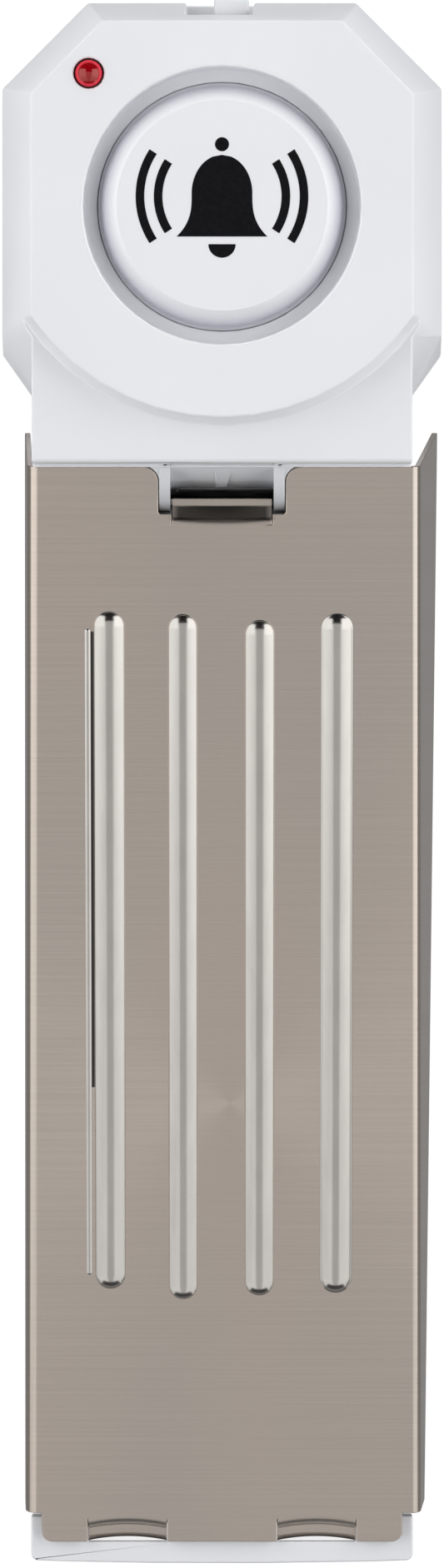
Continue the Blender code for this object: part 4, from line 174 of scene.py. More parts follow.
class NodeSheet(Nodes):
    """A material with one principled shader, and the patterns that feed it."""

    def __init__(self, name: str) -> None:
        """Starts the material.

        Args:
            name: name of the material.
        """
        self.material = bpy.data.materials.new(name)
        self.material.use_nodes = True
        super().__init__(self.material.node_tree)
        self.shader = self.tree.nodes["Principled BSDF"]
        self.place = self.add("TexCoord", {}).outputs["Object"]

    def stretched(self, scale: float | Point) -> Socket:
        """Object coordinates multiplied by a scale.

        Args:
            scale: cells for each metre, along each axis or along all alike.

        Returns:
            The socket with the scaled coordinates.
        """
        factors = scale if isinstance(scale, tuple) else (scale,) * 3
        return self.add("Mapping", {"Scale": factors, "Vector": self.place}).outputs["Vector"]

    def noise(self, scale: float | Point, detail: float = 2.0) -> Socket:
        """Smooth noise between 0 and 1 on scaled object coordinates.

        Args:
            scale: cells for each metre, along each axis or along all alike.
            detail: octaves of finer noise.

        Returns:
            The socket with the noise.
        """
        inputs = {"Scale": 1.0, "Detail": detail, "Vector": self.stretched(scale)}
        return self.add("TexNoise", inputs).outputs["Fac"]

    def ramp(self, value: Socket, stops: list[tuple[float, Colour]]) -> Socket:
        """Colours a value by stops along a ramp.

        Args:
            value: socket from 0 to 1.
            stops: position and colour of each stop, in rising order.

        Returns:
            The socket with the colour.
        """
        node = self.add("ValToRGB", {"Fac": value})
        marks = node.color_ramp.elements
        while len(marks) < len(stops):
            marks.new(1.0)
        for mark, (position, colour) in zip(marks, stops):
            mark.position = position
            mark.color = (*colour, 1.0)
        return node.outputs["Color"]

    def product(self, first: Socket, second: Socket) -> Socket:
        """Two colours multiplied."""
        inputs = {"Factor": 1.0, "A": first, "B": second}
        return self.add("Mix", inputs, data_type="RGBA", blend_type="MULTIPLY").outputs["Result"]

    def shares(self, centre: Pair, reach: Pair) -> Socket:
        """Place in plan, counted from a centre in shares of a reach along x and y.

        Args:
            centre: x and y of the centre.
            reach: lengths along x and y that count as one.

        Returns:
            The socket with the shares.
        """
        scale = (1 / reach[0], 1 / reach[1], 0.0)
        shift = (-centre[0] / reach[0], -centre[1] / reach[1], 0.0)
        inputs = {0: self.place, 1: scale, 2: shift}
        return self.add("VectorMath", inputs, operation="MULTIPLY_ADD").outputs["Vector"]

    def from_axis(self, centre: Pair, radius: float) -> Socket:
        """Distance from an upright axis, as a share of a radius."""
        flat = self.shares(centre, (radius, radius))
        return self.add("VectorMath", {0: flat}, operation="LENGTH").outputs["Value"]

    def parts(self, vector: Socket) -> bpy.types.bpy_prop_collection:
        """Sockets with the X, Y and Z of a vector."""
        return self.add("SeparateXYZ", {"Vector": vector}).outputs

    def from_box(self, centre: Pair, reach: Pair) -> Socket:
        """Larger share of a box's reach along x and y: 0 at its centre and 1 at its edge.

        Args:
            centre: x and y of the box's centre.
            reach: half its length along x and y.

        Returns:
            The socket with the share.
        """
        size = self.add("VectorMath", {0: self.shares(centre, reach)}, operation="ABSOLUTE")
        parts = self.parts(size.outputs["Vector"])
        return self.larger(parts["X"], parts["Y"])

    def around(self, value: Socket, middle: float, spread: float) -> Socket:
        """A value from 0 to 1 mapped onto a spread to both sides of a middle."""
        return self.between(value, middle - spread, middle + spread)

    def relief(self, height: Socket, depth: float) -> None:
        """Lets a height between 0 and 1 raise the surface by up to a depth in metres."""
        bump = self.add("Bump", {"Distance": depth, "Strength": 1.0, "Height": height})
        self.fix(Normal=bump.outputs["Normal"])

    def fix(self, **inputs: Value) -> None:
        """Feeds the shader's own inputs, each named with underscores for spaces."""
        self.feed(self.shader, {name.replace("_", " "): value for name, value in inputs.items()})

    def glow(self, strength: Value) -> Socket:
        """Light of an even strength that a surface gives off."""
        return self.add("Emission", {"Strength": strength}).outputs["Emission"]

    def finish(self, surface: Socket) -> bpy.types.Material:
        """Puts a surface in the shader's place and hands out the material."""
        self.feed(self.tree.nodes["Material Output"], {"Surface": surface})
        return self.material


def shade(colour: Colour, factor: float) -> Colour:
    """A colour made lighter or darker by a factor."""
    return tuple(min(channel * factor, 1.0) for channel in colour)


@dataclass(frozen=True)
class MouldedPlastic:
    """Satin moulded plastic with a fine grain from the mould."""

    name: str
    colour: Colour
    roughness: float = 0.4
    spread: float = 0.05
    grain: float = 0.22 * MM
    depth: float = 0.004 * MM
    clouds: float = 45.0
    mottle: float = 0.015
    painted_rim_shade: tuple[Pair, float, float] | None = None

    def build(self) -> bpy.types.Material:
        """Makes the material. An optional painted shade is an axis, a radius, and the level that the colour
        falls to near it.

        Returns:
            The material.
        """
        sheet = NodeSheet(self.name)
        fine = sheet.noise(1.0 / self.grain, 1.0)
        broad = sheet.noise(self.clouds)
        stops = [(0.35, shade(self.colour, 1 - self.mottle)), (0.65, shade(self.colour, 1 + self.mottle))]
        colour = sheet.ramp(broad, stops)
        # Painted shade: the colour falls towards the given level near the radius round the axis.
        if self.painted_rim_shade:
            centre, radius, level = self.painted_rim_shade
            fall = [(0.88, WHITE), (0.98, (level, level, level * 1.05))]
            colour = sheet.product(colour, sheet.ramp(sheet.from_axis(centre, radius), fall))
        sheet.relief(fine, self.depth)
        sheet.fix(Base_Color=colour, Roughness=sheet.around(broad, self.roughness, self.spread), IOR=1.47)
        return sheet.material


@dataclass(frozen=True)
class BrushedSteel:
    """Stainless sheet brushed across its width: streaks are long along x and fine along y."""

    name: str
    colour: Colour
    roughness: float = 0.24
    spread: float = 0.05
    streak_length: float = 30 * MM
    streak_width: float = 0.16 * MM
    depth: float = 0.0012 * MM
    clouds: Point = (38.0, 14.0, 0.0)
    anisotropy: float = 0.75
    # box and level of the painted shade over the tongue's bend
    shaded_centre: Pair = (0.0, 27.62 * MM)
    shaded_reach: Pair = (5.4 * MM, 0.78 * MM)
    shaded_level: float = 0.17

    def build(self) -> bpy.types.Material:
        """Makes the material. Painted shade darkens the colour in the box in plan where the tongue bends
        down.

        Returns:
            The material.
        """
        sheet = NodeSheet(self.name)
        along, across = 1.0 / self.streak_length, 1.0 / self.streak_width
        streaks = sheet.noise((along, across, 0.0), 3.0)
        bands = sheet.noise((along / 4, across / 22, 0.0), 2.0)
        red, green, blue = self.colour
        warm = [(0.3, shade(self.colour, 0.97)), (0.7, (red * 1.04, green, blue))]
        grey = [(0.25, (0.93, 0.93, 0.93)), (0.75, WHITE)]
        colour = sheet.product(sheet.ramp(sheet.noise(self.clouds, 1.0), warm), sheet.ramp(streaks, grey))
        # Painted shade: the colour falls to the shaded level over the tongue's bend, standing in for its
        # shadow.
        fall = [(0.8, (self.shaded_level,) * 3), (1.0, WHITE)]
        shaded = sheet.ramp(sheet.from_box(self.shaded_centre, self.shaded_reach), fall)
        tangent = sheet.add("Tangent", {}, direction_type="RADIAL", axis="Y")
        sheet.relief(streaks, self.depth)
        sheet.fix(
            Base_Color=sheet.product(colour, shaded),
            Roughness=sheet.around(bands, self.roughness, self.spread),
            Metallic=1.0,
            Anisotropic=self.anisotropy,
            Anisotropic_Rotation=0.25,
            Tangent=tangent.outputs["Tangent"],
        )
        return sheet.material


@dataclass(frozen=True)
class PlatedMetal:
    """Bright metal of small parts, with faint handling marks."""

    name: str
    colour: Colour
    roughness: float = 0.22
    mark: Point = (0.5 * MM, 0.5 * MM, 0.5 * MM)
    tint: Pair = (0.9, 1.05)
    spread: float = 0.08
    depth: float = 0.002 * MM

    def build(self) -> bpy.types.Material:
        """Makes the material.

        Returns:
            The material.
        """
        sheet = NodeSheet(self.name)
        marks = sheet.noise(tuple(1.0 / length for length in self.mark), 3.0)
        stops = [(share, shade(self.colour, tint)) for share, tint in zip((0.3, 0.7), self.tint)]
        rough = sheet.around(marks, self.roughness, self.spread)
        sheet.relief(marks, self.depth)
        sheet.fix(Base_Color=sheet.ramp(marks, stops), Roughness=rough, Metallic=1.0)
        return sheet.material


@dataclass(frozen=True)
class Rubber:
    """Matte moulded rubber with a dusty grain."""

    name: str
    colour: Colour
    grain: float = 0.3 * MM
    depth: float = 0.02 * MM
    dust: float = 120.0
    roughness: Pair = (0.7, 0.92)

    def build(self) -> bpy.types.Material:
        """Makes the material.

        Returns:
            The material.
        """
        sheet = NodeSheet(self.name)
        fine = sheet.noise(1.0 / self.grain, 4.0)
        stops = [(0.4, self.colour), (0.75, shade(self.colour, 1.7))]
        colour = sheet.ramp(sheet.noise(self.dust, 3.0), stops)
        sheet.relief(fine, self.depth)
        sheet.fix(Base_Color=colour, Roughness=sheet.between(fine, *self.roughness), Specular_IOR_Level=0.35)
        return sheet.material


@dataclass(frozen=True)
class LensPlastic:
    """Deep red cast lens of the indicator: dark in the middle, a painted highlight ring, and painted shade at
    its edge.
    """

    name: str
    colour: Colour
    # colour of the painted highlight ring
    glow: Colour
    centre: Pair
    radius: float
    haze: float = 900.0
    roughness: Pair = (0.06, 0.16)

    def build(self) -> bpy.types.Material:
        """Makes the material.

        Returns:
            The material.
        """
        sheet = NodeSheet(self.name)
        # Painted shade at the edge, and a painted highlight ring between it and the dark middle.
        dark = shade(self.colour, 0.2)
        stops = [(0.0, self.colour), (0.64, self.colour), (0.77, self.glow), (0.85, self.glow), (0.92, dark)]
        sheet.fix(
            Base_Color=sheet.ramp(sheet.from_axis(self.centre, self.radius), stops),
            Roughness=sheet.between(sheet.noise(self.haze, 1.0), *self.roughness),
            IOR=1.95,
            Specular_Tint=(1.0, 0.55, 0.5, 1.0),
        )
        return sheet.material


@dataclass(frozen=True)
class Ink:
    """Dull printed ink with a trace of the print's grain."""

    name: str
    colour: Colour
    grain: float = 2500.0

    def build(self) -> bpy.types.Material:
        """Makes the material.

        Returns:
            The material.
        """
        sheet = NodeSheet(self.name)
        stops = [(0.3, shade(self.colour, 0.7)), (0.7, shade(self.colour, 1.4))]
        colour = sheet.ramp(sheet.noise(self.grain), stops)
        sheet.fix(Base_Color=colour, Roughness=0.7, Specular_IOR_Level=0.08)
        return sheet.material


@dataclass(frozen=True)
class BoardLaminate:
    """Green board with paler tracks that run square to each other."""

    name: str
    colour: Colour
    track: Colour
    pitch: float = 2.54 * MM
    depth: float = 0.03 * MM

    def build(self) -> bpy.types.Material:
        """Makes the material.

        Returns:
            The material.
        """
        sheet = NodeSheet(self.name)
        inputs = {
            "Scale": 1.0,
            "Mortar Size": 0.06,
            "Mortar Smooth": 0.2,
            "Brick Width": 2.0,
            "Row Height": 0.5,
            "Color1": (*self.colour, 1.0),
            "Color2": (*shade(self.colour, 0.85), 1.0),
            "Mortar": (*self.track, 1.0),
            "Vector": sheet.stretched(1.0 / self.pitch),
        }
        tracks = sheet.add("TexBrick", inputs).outputs
        sheet.relief(tracks["Fac"], self.depth)
        sheet.fix(Base_Color=tracks["Color"], Roughness=0.35, Coat_Weight=0.4, Coat_Roughness=0.15)
        return sheet.material


@dataclass(frozen=True)
class BandedPaint:
    """Bands of given colours along y, each from its own start, with hard or blended edges."""

    name: str
    start: float
    length: float
    bands: tuple[tuple[float, Colour], ...]
    metallic: float = 0.0
    roughness: float = 0.35
    spread: float = 0.08
    wear: float = 700.0
    blended: bool = False

    def build(self) -> bpy.types.Material:
        """Makes the material. A point's share along y picks its colour.

        Returns:
            The material.
        """
        sheet = NodeSheet(self.name)
        span = (self.start, self.start + self.length)
        share = sheet.between(sheet.parts(sheet.place)["Y"], 0.0, 1.0, span)
        colours = sheet.ramp(share, list(self.bands))
        colours.node.color_ramp.interpolation = "LINEAR" if self.blended else "CONSTANT"
        rough = sheet.around(sheet.noise(self.wear, 3.0), self.roughness, self.spread)
        sheet.fix(Base_Color=colours, Roughness=rough, Metallic=self.metallic)
        return sheet.material


@dataclass(frozen=True)
class WoundWire:
    """Enamelled copper wound round an upright core, one ridge for each turn."""

    name: str
    colour: Colour
    turn: float = 0.2 * MM
    depth: float = 0.05 * MM

    def build(self) -> bpy.types.Material:
        """Makes the material.

        Returns:
            The material.
        """
        sheet = NodeSheet(self.name)
        inputs = {"Scale": 1.0, "Vector": sheet.stretched(0.35 / self.turn)}
        waves = sheet.add("TexWave", inputs, bands_direction="Z").outputs["Fac"]
        stops = [(0.2, shade(self.colour, 0.6)), (0.8, self.colour)]
        sheet.relief(waves, self.depth)
        sheet.fix(Base_Color=sheet.ramp(waves, stops), Roughness=0.3, Metallic=0.7)
        return sheet.material


class Palette:
    """Every finish of the object, made once and handed out by name."""

    def __init__(self) -> None:
        """Builds the materials."""
        pale = (0.785, 0.795, 0.825)
        self.shell = MouldedPlastic("pale_satin_plastic", pale).build()
        # Painted shade on the cap's flank: its colour falls to 0.76 near the edge, standing in for the
        # groove's shadow.
        painted_rim_shade = ((0.0, 57.9 * MM), 12.0 * MM, 0.76)
        self.cap = MouldedPlastic("pale_cap_plastic_with_painted_shade", (0.79, 0.795, 0.82), roughness=0.36, painted_rim_shade=painted_rim_shade).build()
        # Painted shade: the cheeks' colour darkens towards their tips, standing in for the shadow down in the
        # notch.
        fall = ((0.03, 0.165), (0.16, 0.42), (0.29, 0.61), (0.45, 0.72), (0.66, 0.85), (1.0, 1.0))
        bands = tuple((share, shade(pale, level)) for share, level in fall)
        self.recess = BandedPaint("recess_plastic_with_painted_shade", 27.7 * MM, 3.8 * MM, bands, blended=True).build()
        self.frame = MouldedPlastic("grey_satin_plastic", (0.23, 0.235, 0.25), roughness=0.45).build()
        self.black = MouldedPlastic("black_plastic", (0.018, 0.018, 0.02), roughness=0.42).build()
        self.ink = Ink("black_print", (0.004, 0.004, 0.005)).build()
        self.steel = BrushedSteel("brushed_steel_with_painted_shade", (0.61, 0.548, 0.487)).build()
        mark = (1.1 * MM, 16 * MM, 1.1 * MM)
        drawn = {"mark": mark, "tint": (0.96, 1.03), "spread": 0.03, "depth": 0.0004 * MM}
        self.pressed = PlatedMetal("pressed_sheet_steel", (0.565, 0.54, 0.51), 0.19, **drawn).build()
        # Near-black metal for the painted shadow strip in the crease beside the lip.
        self.crease = PlatedMetal("shaded_crease", (0.055, 0.054, 0.053), 0.4, **drawn).build()
        self.bright = PlatedMetal("bright_plating", (0.72, 0.72, 0.71)).build()
        self.brass = PlatedMetal("rolled_brass", (0.70, 0.50, 0.22), roughness=0.3).build()
        self.silvered = PlatedMetal("silvered_ceramic", (0.78, 0.77, 0.74), roughness=0.45).build()
        self.rubber = Rubber("matte_rubber", (0.022, 0.022, 0.023)).build()
        # The glow colour is a painted highlight ring, since the lens is no lamp. Painted shade darkens its
        # edge.
        glow, lens_place, lens_radius = (0.72, 0.016, 0.045), (-13.2 * MM, 71.0 * MM), 1.5 * MM
        self.lens = LensPlastic("red_lens", (0.27, 0.0008, 0.004), glow, lens_place, lens_radius).build()
        self.board = BoardLaminate("green_laminate", (0.012, 0.12, 0.035), (0.03, 0.22, 0.07)).build()
        self.coil = WoundWire("enamelled_winding", (0.62, 0.24, 0.09)).build()
        self.red_jacket = MouldedPlastic("red_insulation", (0.42, 0.012, 0.012), roughness=0.35).build()
        self.grey_jacket = MouldedPlastic("grey_insulation", (0.2, 0.2, 0.21), roughness=0.4).build()


# Meshes


def object_from(name: str, vertices: np.ndarray, faces: np.ndarray | list) -> bpy.types.Object:
    """Puts arrays into a new mesh object, merges its seams and turns its faces out.

    Args:
        name: name of the object.
        vertices: array of points, one row each.
        faces: vertex indices of each face.

    Returns:
        The object, linked to the scene at the origin.
    """
    mesh = bpy.data.meshes.new(name)
    mesh.from_pydata(np.asarray(vertices).reshape(-1, 3).tolist(), [], [list(face) for face in faces])
    builder = bmesh.new()
    builder.from_mesh(mesh)
    bmesh.ops.remove_doubles(builder, verts=builder.verts, dist=SEAM_DISTANCE)
    bmesh.ops.recalc_face_normals(builder, faces=builder.faces)
    builder.to_mesh(mesh)
    builder.free()
    made = bpy.data.objects.new(name, mesh)
    bpy.context.scene.collection.objects.link(made)
    return made


def grid_faces(rows: int, columns: int, wrapped: bool = False) -> np.ndarray:
    """Quads between neighbouring points of a grid, row by row.

    Args:
        rows: rows of points.
        columns: points in each row.
        wrapped: whether each row's end joins its start.

    Returns:
        An array with four indices for each quad.
    """
    index = np.arange(rows * columns).reshape(rows, columns)
    if wrapped:
        index = np.hstack([index, index[:, :1]])
    corners = (index[:-1, :-1], index[:-1, 1:], index[1:, 1:], index[1:, :-1])
    return np.stack(corners, axis=-1).reshape(-1, 4)


def smooth_by_angle(made: bpy.types.Object, degrees: float = 32.0) -> bpy.types.Object:
    """Shades smooth, with sharp edges where faces turn by more than the angle.

    Args:
        made: the object.
        degrees: the angle.

    Returns:
        The object.
    """
    made.data.shade_smooth()
    made.data.set_sharp_from_angle(angle=math.radians(degrees))
    return made


def revolved(name: str, profile: np.ndarray, centre: Pair, sides: int) -> bpy.types.Object:
    """Turns a profile of (radius, height) rows about an upright axis.

    A point is (cx + r cos t, cy + r sin t, z), with t going once round.

    Args:
        name: name of the object.
        profile: rows of radius and height, closed on the axis at both ends or on itself.
        centre: x and y of the axis.
        sides: steps round the axis.

    Returns:
        The closed solid.
    """
    turn = np.linspace(0.0, 2 * math.pi, sides, endpoint=False)
    radius, height = profile[:, 0, None], profile[:, 1, None]
    x = centre[0] + radius * np.cos(turn)
    y = centre[1] + radius * np.sin(turn)
    points = np.stack([x, y, np.broadcast_to(height, x.shape)], axis=-1)
    return smooth_by_angle(object_from(name, points, grid_faces(len(profile), sides, wrapped=True)))


def arc(start: float, end: float, count: int) -> np.ndarray:
    """Points (cos t, sin t) from one angle to another, one row each."""
    turn = np.linspace(start, end, count)
    return np.column_stack([np.cos(turn), np.sin(turn)])


def flat_arch(centre: Pair, reach: float, rise: float, share: np.ndarray) -> np.ndarray:
    """Points (x + reach s, y + rise (1 - s^2)) of a flat arch over a centre (x, y), for each share s."""
    return np.column_stack([centre[0] + reach * share, centre[1] + rise * (1 - share**2)])


def rectangle(axis: Axis, place: float, first: Pair, second: Pair) -> np.ndarray:
    """Corners of a rectangle square to an axis, in order round it.

    Args:
        axis: the axis.
        place: place on the axis.
        first: ends along the first other axis, in the order of x, y and z.
        second: ends along the second one.

    Returns:
        Its four corners, one row each.
    """
    (a, b), (c, d) = first, second
    return np.insert([[a, c], [b, c], [b, d], [a, d]], axis.value, place, axis=1)


def quarter_round(start: Pair, end: Pair, steps: int) -> np.ndarray:
    """Points of a quarter ellipse that leaves start along the first axis and reaches end along the second.

    With t from 0 to 90 degrees, a point is start + (end - start) * (sin t, 1 - cos t).

    Args:
        start: first point.
        end: last point.
        steps: pieces of the curve.

    Returns:
        The points, one row each.
    """
    turn = np.linspace(0.0, math.pi / 2, steps + 1)
    share = np.stack([np.sin(turn), 1 - np.cos(turn)], axis=-1)
    return np.array(start) + (np.array(end) - np.array(start)) * share


def rounded_block(name: str, low: Point, high: Point, radius: float, steps: int = 5) -> bpy.types.Object:
    """A block with round edges: a ball of the edge radius, pulled apart along the three axes.

    With d the unit direction at two angles, a point is centre + sign(d) (half size - radius) + radius d.

    Args:
        name: name of the object.
        low: lowest corner.
        high: highest corner.
        radius: radius of the edges.
        steps: pieces of each quarter turn.

    Returns:
        The closed solid.
    """
    quarter = np.linspace(0.0, math.pi / 2, steps + 1)
    round_turn = np.concatenate([quarter + k * math.pi / 2 for k in range(4)])
    side = np.concatenate([np.full(steps + 1, sign) for sign in (1, -1, -1, 1)])
    front = np.concatenate([np.full(steps + 1, sign) for sign in (1, 1, -1, -1)])
    tilt = np.concatenate([quarter - math.pi / 2, quarter])
    up = np.concatenate([np.full(steps + 1, sign) for sign in (-1, 1)])
    reach = (np.array(high) - np.array(low)) / 2 - radius
    centre = (np.array(high) + np.array(low)) / 2
    flat = np.cos(tilt)[:, None]
    direction = np.stack(
        [
            flat * np.cos(round_turn),
            flat * np.sin(round_turn),
            np.broadcast_to(np.sin(tilt)[:, None], (len(tilt), len(round_turn))),
        ],
        axis=-1,
    )
    pull = np.stack(np.broadcast_arrays(side[None, :], front[None, :], up[:, None]), axis=-1)
    points = centre + pull * reach + direction * radius
    rows, columns = points.shape[:2]
    faces = [list(face) for face in grid_faces(rows, columns, wrapped=True)]
    corner = steps + 1
    for row in (0, rows - 1):
        faces.append([row * columns + k * corner for k in range(4)])
    return smooth_by_angle(object_from(name, points, faces))


def carried(name: str, outline: np.ndarray, axis: Axis, start: float, end: float) -> bpy.types.Object:
    """A closed outline carried straight along an axis, with flat ends.

    Args:
        name: name of the object.
        outline: rows of the two coordinates square to the axis, in the order of x, y and z.
        axis: direction of travel.
        start: first place on the axis.
        end: last place on the axis.

    Returns:
        The closed solid.
    """
    count = len(outline)
    ends = [np.insert(outline, axis.value, place, axis=1) for place in (start, end)]
    faces = grid_faces(2, count, wrapped=True).tolist()
    faces += [list(range(count)), list(range(count, 2 * count))]
    return object_from(name, np.stack(ends), faces)


def modified(made: bpy.types.Object) -> bpy.types.Object:
    """Applies an object's modifiers to its mesh.

    Args:
        made: the object.

    Returns:
        The object.
    """
    graph = bpy.context.evaluated_depsgraph_get()
    mesh = bpy.data.meshes.new_from_object(made.evaluated_get(graph))
    made.modifiers.clear()
    made.data = mesh
    return made


def joined(target: bpy.types.Object, others: list[bpy.types.Object], operation: str) -> bpy.types.Object:
    """Unites others with a solid, or cuts them from it.

    Args:
        target: the solid that stays.
        others: solids that are used up.
        operation: UNION or DIFFERENCE.

    Returns:
        The target.
    """
    for other in others:
        step = target.modifiers.new(operation.lower(), "BOOLEAN")
        step.operation = operation
        step.solver = "EXACT"
        step.object = other
        modified(target)
        bpy.data.objects.remove(other, do_unlink=True)
    return target


def soften(
    made: bpy.types.Object, width: float, segments: int = 3, degrees: float = 34.0
) -> bpy.types.Object:
    """Rounds a solid's sharp edges with a live bevel that leaves flat faces flat.

    Args:
        made: the solid.
        width: width of the rounded edges.
        segments: steps across each edge.
        degrees: turn between two faces above which their edge is rounded.

    Returns:
        The solid.
    """
    bevel = made.modifiers.new("edge_round", "BEVEL")
    bevel.limit_method = "ANGLE"
    bevel.angle_limit = math.radians(degrees)
    bevel.width = width
    bevel.segments = segments
    bevel.use_clamp_overlap = False
    bevel.harden_normals = True
    return smooth_by_angle(made, degrees)


def points_of(made: bpy.types.Object) -> np.ndarray:
    """Places of a mesh's points, one row each.

    Args:
        made: the object with the mesh.

    Returns:
        The places.
    """
    points = np.empty(len(made.data.vertices) * 3)
    made.data.vertices.foreach_get("co", points)
    return points.reshape(-1, 3)


def move_points(made: bpy.types.Object, points: np.ndarray) -> None:
    """Puts a mesh's points at new places, one row each."""
    made.data.vertices.foreach_set("co", points.ravel())
    made.data.update()


def dressed(made: bpy.types.Object, material: bpy.types.Material) -> bpy.types.Object:
    """Gives every face of an object one material.

    Args:
        made: the object.
        material: the material.

    Returns:
        The object.
    """
    made.data.materials.clear()
    made.data.materials.append(material)
    return made


@dataclass(frozen=True)
class Workshop:
    """Puts finished pieces on the frame and makes soft-edged copies of its nodes."""

    nodes: dict[str, bpy.types.Object]

    def fit(
        self,
        piece: bpy.types.Object,
        body: Body,
        material: bpy.types.Material,
        stands_for: tuple[str, ...] = (),
    ) -> bpy.types.Object:
        """Dresses a piece and lets it ride on its body.

        Args:
            piece: the finished piece.
            body: rigid body that carries it.
            material: finish of the piece.
            stands_for: nodes that the piece replaces.

        Returns:
            The piece.
        """
        dressed(piece, material)
        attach(piece, body.value)
        if stands_for:
            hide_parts(*stands_for)
        LOG.info("%s rides on %s", piece.name, body.value)
        return piece

    def merged(
        self, node: str, name: str, merge: float = SEAM_DISTANCE, flat: float = 0.0
    ) -> bpy.types.Object:
        """Copies a node and joins its loose triangles.

        Args:
            node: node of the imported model.
            name: name of the copy.
            merge: distance under which points become one.
            flat: angle in radians under which faces become one.

        Returns:
            The copy.
        """
        made = bpy.data.objects.new(name, self.nodes[node].data.copy())
        bpy.context.scene.collection.objects.link(made)
        builder = bmesh.new()
        builder.from_mesh(made.data)
        bmesh.ops.remove_doubles(builder, verts=builder.verts, dist=merge)
        bmesh.ops.dissolve_degenerate(builder, dist=merge, edges=builder.edges)
        if flat:
            bmesh.ops.dissolve_limit(builder, angle_limit=flat, verts=builder.verts, edges=builder.edges)
        builder.to_mesh(made.data)
        builder.free()
        for name_of_data in ("custom_normal", "sharp_edge", "sharp_face"):
            if name_of_data in made.data.attributes:
                made.data.attributes.remove(made.data.attributes[name_of_data])
        return made

    def copy(
        self, node: str, name: str, width: float, segments: int = 2, merge: float = MERGE_DISTANCE
    ) -> bpy.types.Object:
        """Copies a node, merges its loose triangles into flat faces and rounds its edges.

        Args:
            node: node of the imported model.
            name: name of the copy.
            width: width of the rounded edges.
            segments: steps across each edge.
            merge: distance under which points become one.

        Returns:
            The copy.
        """
        return soften(self.merged(node, name, merge, math.radians(0.8)), width, segments)

    def stand_in(
        self,
        node: str,
        name: str,
        width: float,
        body: Body,
        material: bpy.types.Material,
        segments: int = 2,
    ) -> None:
        """Puts a soft-edged copy of a node in its place.

        Args:
            node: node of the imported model.
            name: name of the copy.
            width: width of the rounded edges.
            body: rigid body that carries it.
            material: finish of the copy.
            segments: steps across each edge.
        """
        self.fit(self.copy(node, name, width, segments), body, material, (node,))

    def paint(self, node: str, material: bpy.types.Material, smooth: bool) -> None:
        """Gives a node that stays in view its finish.

        Args:
            node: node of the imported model.
            material: its finish.
            smooth: whether its faces are shaded as one round surface.
        """
        made = self.nodes[node]
        dressed(made, material)
        if smooth:
            made.data.shade_smooth()
        LOG.info("%s keeps its own shape", node)


# Sub-assemblies


@dataclass(frozen=True)
class Rib:
    """Pressed rib along y: its middle line's x, its ends' y, its section and the finish it wears."""

    name: str
    x: float
    low: float
    tall: float
    half_width: float
    height: float = 0.66 * MM
    dome: float = 2.29 * MM
    brow: float = 0.13 * MM
    # a shaded rib is a near-black strip of painted shadow
    shaded: bool = False


